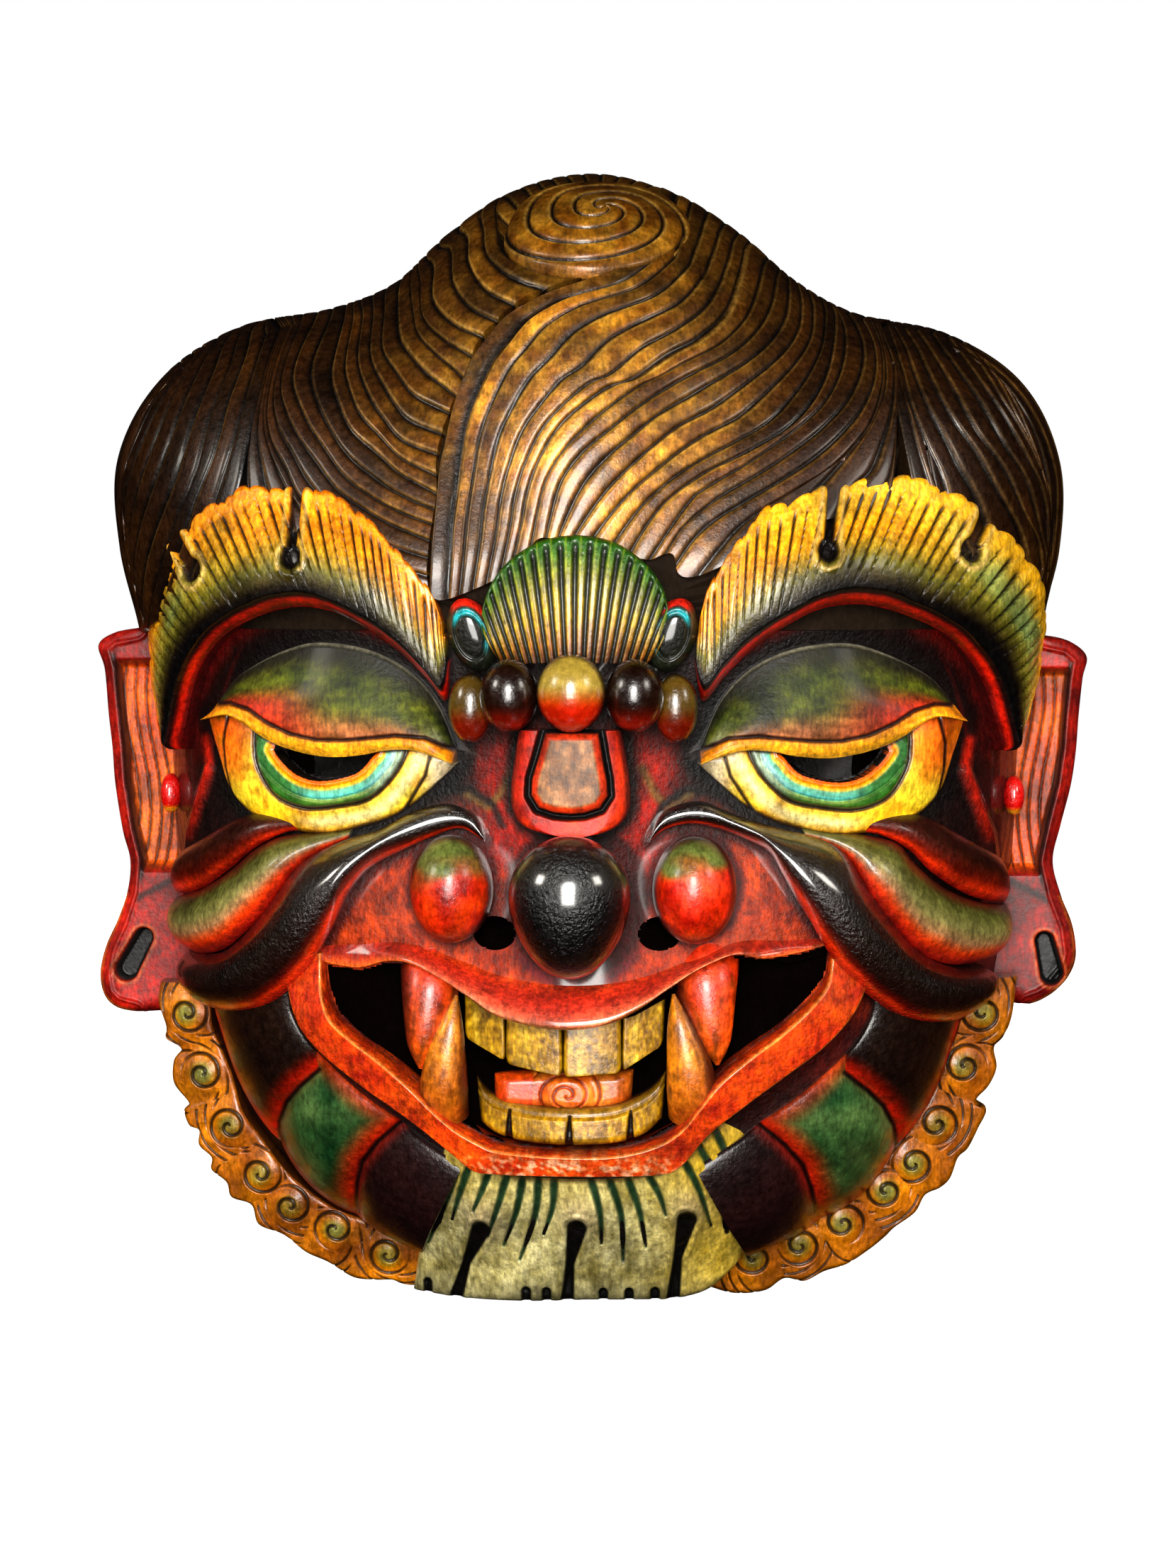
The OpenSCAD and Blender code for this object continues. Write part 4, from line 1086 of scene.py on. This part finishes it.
def lower_lip_colour(u, v, x, z):
    c = mix(rgb(134, 32, 8), rgb(222, 92, 28), streaks(x, z, (8, 43), (3.2, 44)))
    c = mix(c, rgb(238, 168, 104), 0.7 * np.maximum(band(v - 0.05, 0.05), band(v - 0.93, 0.05)))
    # painted highlight: pale specks over the middle of the lower lip's lower part
    highlight_specks = ease((rough_noise(x * 1.3 + z, z * 1.1 - x * 0.4, 2.1, 45) - 0.25) * 1.5)
    return mix(c, rgb(250, 214, 190), 0.7 * ease((64 - z) / 6) * ease((54 - np.abs(x)) / 30) * highlight_specks)


def lower_lip_height(u, v, x, z):
    return (5 + 9.0 * rims(v, 0.10) + 2.0 * v) * (0.45 + 0.55 * ease(np.minimum(u, 1 - u) / 0.1))


relief("lower_lip_carved", JAW_OUT, JAW_IN, 520, 44, lower_lip_height, lower_lip_colour, "skin",
       ("lower_lip",), low=-18)


def arch(f0, x):
    """Depth of the rows of teeth, which bend back from the middle."""
    return f0 - (x / 60) ** 2 * 22


def tooth(name, L, R, f0, replaces):
    def front(u, v, x, z):
        return arch(f0, x) - 3 + 3 * rims(v, 0.07) * lip_in(1 - u, 0.1)

    def colour(u, v, x, z):
        n = streaks(x, z, (2.6, 47), (1.4, 48), 1.6, 0.8)
        c = mix(rgb(78, 52, 4), rgb(206, 164, 46), n)
        # painted highlight: a pale band down each tooth
        c = mix(c, rgb(246, 230, 150), 0.4 * band(v - 0.3, 0.2) * n)
        gum = np.minimum(v, 1 - v) * 15 + (u - 0.2) * 26
        return layers(c, (110, 24, 16, 0.9 * ease((1.2 - gum) / 2.4)),
                         (40, 28, 12, 0.85 * (1 - rims(v, 0.045) * lip_in(1 - u, 0.05))))

    slab_piece(name, L, R, 60, 44, front, 134, colour, "gold_paint", replaces)


# Each upper tooth: top left, bottom left, bottom middle, bottom right, top right.
UPPER = ["-43.5,124 -43,105 -36,99.5 -27.3,96.4 -27.2,124",
         "-26.9,122 -26.8,95.8 -16,92.6 -5.3,91.3 -5.2,122",
         "-4.9,122 -4.8,91.2 6,91.2 16.8,92.8 17,122", "17.4,124 17.2,93 25,97 32.4,103 33.6,124"]
for k, corners in enumerate(UPPER):
    a, b, mid, d, e = np.array(pts(corners))
    low = [(p * (2 / 3, 0.5) + mid * (1 / 3, 0.5) - (0, 0.4)) for p in (b, d)]
    tooth(f"upper_tooth_{k + 1}", [a, (a + b) / 2, b, low[0]], [e, (e + d) / 2, d, low[1]],
          156 if k in (1, 2) else 155, ("upper_teeth",) if k == 0 else ())
NICKS = pts("-26,80 -3,78 20,80")


def nick(x, z):
    return np.minimum.reduce([tear(x, z, (q, 62), (q + 0.3, t - 4), 1.6, 0.3) for q, t in NICKS])


def lower_teeth_front(u, v, x, z):
    f = arch(148, x) + 5 * rounded(u, v, 0.05, 0.22)
    return f - 4 * ease((0.5 - nick(x, z)) / 1.0) - 2.5 * ease((0.34 - v) / 0.1) * (v < 0.4)


def lower_teeth_colour(u, v, x, z):
    c = mix(rgb(80, 54, 6), rgb(206, 166, 48), streaks(x, z, (3.1, 51), (1.4, 52), 1.6, 0.8))
    return layers(c, (96, 70, 30, 0.6 * ease((0.3 - v) / 0.1)),
                     (24, 14, 8, ease((0.6 - nick(x, z)) / 0.8)),
                     (40, 22, 12, 0.85 * (1 - rounded(u, v, 0.02, 0.1))))


slab_piece("lower_teeth_carved", pts("-39,88 -33,82 -20,78.5 -4,77.5 14,78.5 27,84 33.5,91"),
           pts("-37,71 -30,66.5 -18,64 -3,63.2 14,64 25,67 32,73"),
           220, 70, lower_teeth_front, 134, lower_teeth_colour, "gold_paint", ("lower_teeth",))


def tongue_spiral(x, z):
    r, a = np.hypot(x + 4, (z - 82) * 1.2), np.arctan2(z - 82, x + 4)
    return r, groove(r / 5.0 - a / (2 * math.pi), 0.16) * ease((17 - r) / 3) * (x > -17)


def tongue_colour(u, v, x, z):
    c = mix(rgb(170, 70, 24), rgb(222, 138, 66), rough_noise(x, z, 5, 53))
    return layers(c, (176, 52, 18, 0.7 * (x < -17)),
                     (90, 26, 16, 0.85 * tongue_spiral(x, z)[1]))


def tongue_front(u, v, x, z):
    r, g = tongue_spiral(x, z)
    return 138 + 8 * rounded(u, v, 0.12, 0.3) + 3 * ease((11 - r) / 5) - 1.4 * g


slab_piece("tongue_carved", pts("-32,89 -24,90 -8,91 10,91 21,91"),
           pts("-32,79 -24,76.5 -8,75.5 8,75.5 20,79"), 130, 50, tongue_front, 133, tongue_colour, "enamel",
           ("tongue",))


def tusk(name, path, radii, hi, lo, mat, gold):
    def colour(U, A, x, z):
        c = mix(rgb(*lo), rgb(*hi), ease(U * 1.2) * 0.6 + 0.4 * rough_noise(x, z, 4, 57))
        # painted highlight: a pale stripe along one side where the last argument is 1; painted shade:
        # darker along another side
        return layers(c, (64, 40, 14, 0.55 * ease((rough_noise(A * 5, U * 9, 1.3, 58) - 0.5) * 3)),
                         (240, 200, 120, 0.5 * band(np.cos(A + 1.1) - 0.8, 0.3) * gold),
                         (40, 14, 9, 0.75 * ease((-np.cos(A) - 0.45) / 0.5)))

    tube(f"{name}_tusk_carved", pts(path), radii, colour, mat, (f"{name}_tusk",),
         squash=0.8)


# Highs, lows, material, and 1 where a painted highlight stripe runs along the tusk.
RED_TUSK = (206, 96, 36), (168, 44, 18), "enamel", 0
GOLD_TUSK = (206, 134, 44), (130, 66, 24), "gold_paint", 1
tusk("left_upper", "-56,138,132 -56,145,122 -57,148,112 -58.5,149,101 -59.5,147,92", [12, 11, 9, 6, 0.9],
     *RED_TUSK)
tusk("right_upper", "48,138,134 48.5,145,124 50,148,114 52,149,103 53,147,94", [13, 12, 9.6, 6.2, 0.9],
     *RED_TUSK)
tusk("left_lower", "-50,141,74 -50.5,148,84 -49.5,151,96 -47.5,152,108 -45.5,150,120",
     [8.5, 9.2, 7.8, 4.8, 0.7], *GOLD_TUSK)
tusk("right_lower", "43,141,74 43.5,148,84 42,151,96 39,152,109 36.5,150,121", [8.8, 9.6, 8.2, 5, 0.7],
     *GOLD_TUSK)


# ---------- jaw panels ----------
def panels(side, s):
    cuts = [on(s, c) for c in PANEL_CUT]

    def height(u, v, x, z):
        d = np.minimum(*[line_dist(x, z, cut) for cut in cuts])
        return 1.5 + 8.0 * (1 - np.exp(-d / 6.0)) * (0.3 + 0.7 * hump(np.clip(v, 0.02, 0.98), 0.5))

    def colour(u, v, x, z):
        a, b = [line_dist(x, z, cut) for cut in cuts]
        n = rough_noise(x, z, 8, 61)
        pan = inside(np.abs(x), z, on(1, PANEL_CUT[0]) + pts("200,50 200,140 101,140"))
        low = inside(np.abs(x), z, on(1, PANEL_CUT[1]) + pts("90,-40 0,-40 0,70"))
        c1 = mix(rgb(24, 15, 11), rgb(176, 36, 16), ease(1 - a / 10) * 0.95)
        c2 = mix(mix(rgb(22, 46, 26), rgb(78, 98, 60), n), rgb(170, 44, 22),
                 np.maximum(ease(1.05 - b / 11), 0.7 * ease((0.22 - v) / 0.22)))
        c3 = mix(rgb(28, 16, 16), rgb(110, 30, 24), ease(1 - b / 6) * 0.8)
        c = np.where(pan[..., None], c1, np.where(low[..., None], c3, c2))
        return layers(c, (150, 30, 20, 0.75 * ease((v - 0.88) / 0.1)),
                         (*BLACK, 0.95 * band(np.minimum(a, b), 1.6)))

    relief(f"{side}_panels_carved", on(s, PANEL_IN), on(s, PANEL_OUT), 300, 90, height, colour, "enamel",
           (f"{side}_jaw_panels",))


both(panels)

# ---------- curled beard fringe ----------
RIM = {-1: pts("""-172,116 -173,108 -170,98 -170,93 -164,89 -167,84 -167,75 -161,67 -163,64 -161,58 -157,56
                  -157,50 -152,45 -152,40 -146,35 -144,29 -136,26 -133,18 -123,14 -114,7 -105,3 -95,-3
                  -86,-4 -80,-4 -72,-6 -58,-5 -44,-3"""),
       1: pts("""170,120 168,104 165,96 161,91 162,83 159,76 154,70 158,66 155,59 151,51 147,47 144,39
                 140,35 134,32 130,25 122,19 118,15 112,10 103,4 94,1 86,-3 78,-2 70,-7 57,-8 44,-4""")}
ROOT = {-1: pts("""-150,116 -150,100 -146,90 -142,80 -138,66 -130,54 -121,42 -112,34 -102,27 -92,23 -82,20
                   -66,17 -50,14 -42,12"""),
        1: pts("""146,118 144,104 141,90 138,78 131,67 126,58 120,50 113,42 105,36 95,31 84,25 70,21 54,17
                  42,14""")}
CURLS = {-1: pts("-160,104 -154,80 -143,59 -131,40 -119,27 -101,18 -80,8"),
         1: pts("156,106 149,85 138,62 129,46 118,35 101,22 84,13 66,8")}


def curl_field(s, x, z):
    C = np.array(CURLS[s], float)
    d = np.hypot(x[..., None] - C[:, 0], z[..., None] - C[:, 1])
    k = d.argmin(-1)
    r = d.min(-1)
    cx, cz = C[k, 0], C[k, 1]
    a = np.arctan2(z - cz, (x - cx) * -s)
    spiral = groove(r / 5.6 - a / (2 * math.pi) + 0.3 * k, 0.2) * ease((9.4 - r) / 1.2)
    tangent = np.where(k % 2 == 0, 1.0, -1.0)
    rr = np.hypot(x - cx + 6 * tangent * s, z - cz - 4 * tangent)
    arcs = groove((rr - 11.0) / 3.6, 0.18) * ease((r - 9.2) / 1.5) * ((rr > 11) & (rr < 21.8))
    return np.maximum(spiral, arcs), r


def fringe(side, s):
    def front(u, v, x, z):
        g, r = curl_field(s, x, z)
        edges = 8 * (1 - lip_in(1 - v, 0.10)) + 1.5 * (1 - lip_in(v, 0.1))
        return 71 - 7 * v + 3.2 * np.exp(-(r / 7.5) ** 2) - 1.9 * g - edges

    def colour(u, v, x, z):
        g, r = curl_field(s, x, z)
        n = rough_noise(x, z, 9, 71)
        c = mix(rgb(116, 64, 8), rgb(186, 116, 16), n)
        return layers(c, (70, 130, 116, 0.55 * ease((6 - r) / 5 + 0.2) * (0.4 + 0.6 * n)),
                         (110, 60, 20, 0.6 * ease(1 - v / 0.25)),
                         (176, 112, 30, 0.6 * ease((v - 0.9) / 0.1)),
                         (28, 20, 14, 0.92 * g))

    slab_piece(f"{side}_fringe_carved", ROOT[s], RIM[s], 620, 72, front, 48, colour, "gold_paint",
               (f"{side}_beard_fringe",))


both(fringe)


# ---------- chin beard ----------
DROPS = [((-38.5, 27), (-50, -3)), ((-1, 29), (-6, -3)), ((41, 32), (35, -2))]
STRANDS = [pts(k) for k in ("-47,52 -52,38 -61,18", "-42,53 -46,42 -50,30", "-34,52 -37,44 -41,35",
                            "-21,50 -24,36 -30,20", "-15,50 -17,34 -24,14", "-9,50 -10,38 -14,26",
                            "-27,51 -31,38 -36,24", "5,50 8,36 8,22", "12,50 16,34 16,14",
                            "19,50 23,36 25,20", "27,51 31,42 33,34", "40,57 46,44 50,28",
                            "46,62 53,46 56,24", "52,68 59,50 61,34")]


def strand_field(x, z):
    g = np.zeros(x.shape)
    for strand in STRANDS:
        top, end = strand[0][1], strand[2][1]
        w = 0.5 + 1.0 * np.clip((z - end) / (top - end), 0, 1) * np.clip((top - z) / 8 + 0.6, 0.4, 1)
        g = np.maximum(g, ease(1.6 - line_dist(x, z, curve(strand, 14)) / w))
    return g


def drop_field(x, z):
    best = np.full(x.shape, 1e9)
    for a, b in DROPS:
        mid = ((a[0] + b[0]) / 2 - 1, (a[1] + b[1]) / 2)
        best = np.minimum(best, np.minimum(tear(x, z, a, mid, 3.4, 1.3), tear(x, z, mid, b, 1.2, 2.2)))
    return best


SLOTS = [-62, -22, -14, 8, 18, 28]
CHIN_TOP = pts("-49,66 -40,58 -36,54 -22,51 0,50 22,51 38,56 50,67 59,76")
CHIN_END = pts("-68.5,-3.6 -60,-3.8 -46,-4 -22,-3.6 0,-2.6 20,-2.6 36,-2.6 49,0.4 59,9")


def chin():
    u, v, x, z = between(CHIN_TOP, CHIN_END, 300, 120)
    x = x + ease((u - 0.8) / 0.2) * (9.5 * hump(v, 0.8) - 2.2 * scallop(math.pi * 3.4 * v + 0.4, 0.7))
    x = x - ease((0.16 - u) / 0.16) * (2.5 * hump(v) - 1.6 * scallop(math.pi * 4.2 * v + 0.3, 0.7)
                                       * (v < 0.85))
    g, d = strand_field(x, z), drop_field(x, z)
    sl = np.minimum.reduce([np.hypot(x - q, np.maximum(0, z - 0.5) * 0.9) for q in SLOTS])
    dome = np.maximum.reduce([np.exp(-((x - a - 1) / 8) ** 2 - ((z - b - 5) / 9) ** 2)
                              for (a, b), _ in DROPS])
    h = 4 + 6 * hump(0.1 + 0.7 * v) + 4.5 * dome - 1.6 * g
    h = h - 4.0 * ease((0.7 - d) / 1.6) + 0.9 * band(d - 2.0, 1.6) - 4.0 * ease((2.2 - sl) / 1.2)
    h = h * (0.5 + 0.5 * rims(u, 0.02)) * (0.6 + 0.4 * lip_in(1 - v, 0.06))
    c = mix(rgb(116, 106, 60), rgb(236, 228, 178), streaks(x, z, (9, 81), (3.4, 82), 2.2, 0.8))
    c = layers(c, (206, 170, 60, 0.6 * ease((x - 16) / 40) + 0.3 * ease((z - 30) / 30)),
                  (176, 160, 130, 0.7 * dome),
                  (60, 58, 46, 0.5 * ease((10 - z) / 12)),
                  (24, 44, 30, 0.93 * g),
                  (12, 11, 9, np.maximum(ease((0.9 - d) / 1.0), ease((2.2 - sl) / 0.8))),
                  (60, 40, 22, 0.7 * ease(1 - v / 0.05)))
    f = 104 + 42 * ease(z / 66) - 26 * (np.abs(x) / 68) ** 2.4
    front = np.stack([x, -f - h, z], -1)
    grid_piece("chin_beard_carved", front, c, "gold_paint", np.stack([x, -f + 16, z], -1),
               ("chin_beard",), back=True)


chin()


# ---------- ears ----------
EAR = {-1: pts("""-184,257 -194,255 -200.5,250 -198,240 -196.5,222 -195,208 -194,194 -191,175 -188,163
                  -189,151 -193,139 -198,128 -200.5,117 -199,108 -194,103 -186,101"""),
       1: pts("""182,254 191,252 198,246 196.5,237 195,222 194,208 192,194 188,178 185,164 188,151 193,138
                 194.5,126 192,118 187,112 181,108 176,106""")}


def ear(side, s):
    A = EAR[s]
    top, low = A[0][1], A[-1][1]
    B = [(s * 162, top - 1), (s * 161, 230), (s * 160, 200), (s * 160, 160), (s * 160, 130),
         (s * 162, low + 1)]

    def field(x, z):
        X = np.abs(x)
        d_out = line_dist(x, z, A)
        cup = ease((d_out - 6.0) / 1.5) * ease((z - 158) / 5) * ease((top - 12 - z) / 4)
        lines = groove((X + 3.0 * np.sin((z - 160) / 15.0)) / 4.4, 0.16) * cup
        slot = tear(X, z, (181.5, 132), (188.5 if s < 0 else 184.5, 119), 3.4, 4.2)
        return d_out, cup, lines, slot

    def front(u, v, x, z):
        d_out, cup, lines, slot = field(x, z)
        f = 34 + 9 * lip_in(v, 0.25) * lip_in(u, 0.02) * lip_in(1 - u, 0.06) - 9.5 * cup - 1.6 * lines
        return f + 1.4 * band(d_out - 4.6, 1.4) - 11 * ease((0.9 - slot) / 1.6)

    def colour(u, v, x, z):
        d_out, cup, lines, slot = field(x, z)
        n = rough_noise(x, z, 10, 91)
        c = mix(rgb(84, 14, 5), rgb(150, 34, 12), n)
        c = mix(c, mix(rgb(170, 70, 20), rgb(214, 110, 36), n), cup)
        return layers(c, (26, 12, 10, 0.9 * lines),
                         (22, 12, 10, 0.9 * ease(1 - np.abs(d_out - 6.2) / 1.9) * ease((z - 150) / 8)
                          * ease((top - 8 - z) / 4)),
                         (196, 130, 70, 0.6 * band(d_out - 0.8, 1.2) * (z < 150)),
                         (30, 12, 10, 0.85 * ease(1 - np.abs(z - 150 + 0.5 * (np.abs(x) - 180)) / 3.0)
                          * ease((d_out - 5) / 2)),
                         (200, 150, 110, 0.45 * band(slot - 1.6, 1.4)),
                         (8, 6, 6, ease((0.8 - slot) / 0.8)))

    slab_piece(f"{side}_ear_carved", A, B, 330, 64, front, 12, colour, "satin",
               (f"{side}_ear",))

    def knob_colour(nx, nz, x, z):
        return mix(rgb(186, 26, 16), rgb(216, 146, 50), band(nz + 0.8, 0.3))

    ball(f"{side}_tragus", (168.5 * s, 52, 191), (4.2, 7, 8), knob_colour, "gloss",
         n=56, m=40)


both(ear)


# ---------- the carved blocks, brace, plate and screws keep their own shapes ----------
def block_material(name, front, wood, spec=0.05):
    """Bare wood where a face looks to the wall or up from the hollow's floor, dark paint elsewhere."""
    t = painted(name, rough=0.75, spec=spec, mottle=0.3, speck=0.2, colour=front).node_tree
    geo = node(t, "NewGeometry")
    look = node(t, "SeparateXYZ", in_0=geo.outputs["Normal"])
    pos = node(t, "SeparateXYZ", in_0=geo.outputs["Position"])
    wall = span(t, look.outputs["Y"], 0.02, 0.10, 0.0, 1.0)
    deep = span(t, pos.outputs["Z"], -0.262, -0.266, 0.0, 1.0)
    floor = node(t, "Math", "MULTIPLY", in_0=deep, in_1=span(t, look.outputs["Z"], 0.3, 0.5, 0.0, 1.0))
    bare_wood = node(t, "Math", "MAXIMUM", in_0=wall, in_1=floor.outputs[0])
    shades = node(t, "ValToRGB", Fac=bare_wood.outputs[0])
    shades.color_ramp.elements[0].color = (*front, 1)
    shades.color_ramp.elements[1].color = (*wood, 1)
    t.links.new(shades.outputs["Color"], t.nodes["paint"].inputs[0])


WOOD = (0.30, 0.17, 0.075)
block_material("shell_bare", (0.0012, 0.0006, 0.0005), WOOD, spec=0.0)
block_material("crown_bare", (0.012, 0.007, 0.004), WOOD)
painted("brace_wood", rough=0.6, mottle=0.3, speck=0.15, colour=(0.42, 0.26, 0.12))
painted("steel", rough=0.36, metal=1.0, mottle=0.1, speck=0.1, colour=(0.55, 0.55, 0.54), grain=0.0001)
painted("brass", rough=0.3, metal=1.0, mottle=0.12, speck=0.1, colour=(0.72, 0.52, 0.22), grain=0.0001)
DRESS = {"face_shell": ("shell_bare", "shell_wood"), "hair_crown": ("crown_bare", "antique_gold_black"),
         "ear_dowels": ("brace_wood", "bare_wood"), "back_brace": ("brace_wood", "bare_wood"),
         "hanger_plate": ("steel", "plate_steel"), "hanger_screws": ("brass", "screw_brass")}
for node_name, (mat, slot) in DRESS.items():
    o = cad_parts[node_name]
    o.data.materials.clear()
    o.data.materials.append(MATS[mat])

# ---------- stage ----------
LIGHT = (1, 0.97, 0.92)
AIM = Vector((0, -0.05, -0.10))


def stage():
    me = bpy.data.meshes.new("floor")
    s = 6.0
    zf = min(cad_lo.z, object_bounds()[0].z) - 0.0006
    me.from_pydata([(-s, -s, zf), (s, -s, zf), (s, s, zf), (-s, s, zf)], [], [(0, 1, 2, 3)])
    fm = bpy.data.materials.new("floor_mat")
    fm.use_nodes = True
    b = fm.node_tree.nodes["Principled BSDF"]
    b.inputs["Base Color"].default_value = (0.5, 0.5, 0.5, 1)
    b.inputs["Roughness"].default_value = 0.9
    b.inputs["Emission Color"].default_value = (1, 1, 1, 1)
    b.inputs["Emission Strength"].default_value = 1.0
    me.materials.append(fm)
    floor = bpy.data.objects.new("floor", me)
    bpy.context.scene.collection.objects.link(floor)
    floor.visible_diffuse = False
    floor.visible_glossy = False
    floor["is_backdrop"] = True

    def area(name, loc, size, power, sy=None, shine=True, tint=(1, 0.94, 0.84)):
        d = bpy.data.lights.new(name, "AREA")
        d.shape = "RECTANGLE"
        d.size = size
        d.size_y = sy or size
        d.energy = power
        d.color = tint
        o = bpy.data.objects.new(name, d)
        o.location = loc
        o.rotation_euler = (AIM - Vector(loc)).to_track_quat("-Z", "Y").to_euler()
        o.visible_glossy = shine
        bpy.context.scene.collection.objects.link(o)

    area("key", (0.05, -1.75, 0.45), 0.42, 17, sy=0.5, tint=LIGHT)
    area("front", (0.0, -1.75, 0.10), 0.6, 32, sy=1.0, tint=LIGHT)
    area("soft_front", (0.0, -2.4, 0.2), 1.8, 12, shine=False)
    area("fill_left", (-1.6, -1.0, 0.2), 1.0, 12, shine=False)
    area("fill_right", (1.6, -1.0, 0.2), 1.0, 11, shine=False)
    area("low_front", (0.0, -1.6, -0.28), 1.2, 7, sy=0.4, shine=False)
    area("edge_left", (-1.3, -0.9, 0.7), 0.4, 8)
    area("edge_right", (1.3, -0.9, 0.7), 0.4, 6)
    area("side_left", (-1.9, 0.15, 0.3), 1.2, 9, shine=False)
    area("side_right", (1.9, 0.15, 0.3), 1.2, 9, shine=False)
    area("back_soft", (0.0, 1.9, 0.2), 1.4, 34, shine=False)
    w = bpy.data.worlds.new("studio")
    bpy.context.scene.world = w
    w.use_nodes = True
    w.node_tree.nodes["Background"].inputs[0].default_value = (1, 1, 1, 1)
    w.node_tree.nodes["Background"].inputs[1].default_value = 1.0
    w.cycles_visibility.diffuse = False
    w.cycles_visibility.glossy = False
    bpy.context.scene.view_settings.view_transform = "Standard"


stage()

# ---------- camera: 3 degrees to the right, 3 degrees above ----------
az, el, dist = math.radians(3.0), math.radians(3.0), 1.700
target = Vector((0.0, -0.070, -0.104))
back = Vector((math.sin(az) * math.cos(el), -math.cos(az) * math.cos(el), math.sin(el)))
cam = bpy.data.cameras.new("camera")
cam.sensor_width = 36.0
cam.lens = 98.79
cam.clip_start, cam.clip_end = 0.05, 50
co = bpy.data.objects.new("camera", cam)
co.location = target + back * dist
co.rotation_euler = (-back).to_track_quat("-Z", "Y").to_euler()
bpy.context.scene.collection.objects.link(co)
bpy.context.scene.camera = co
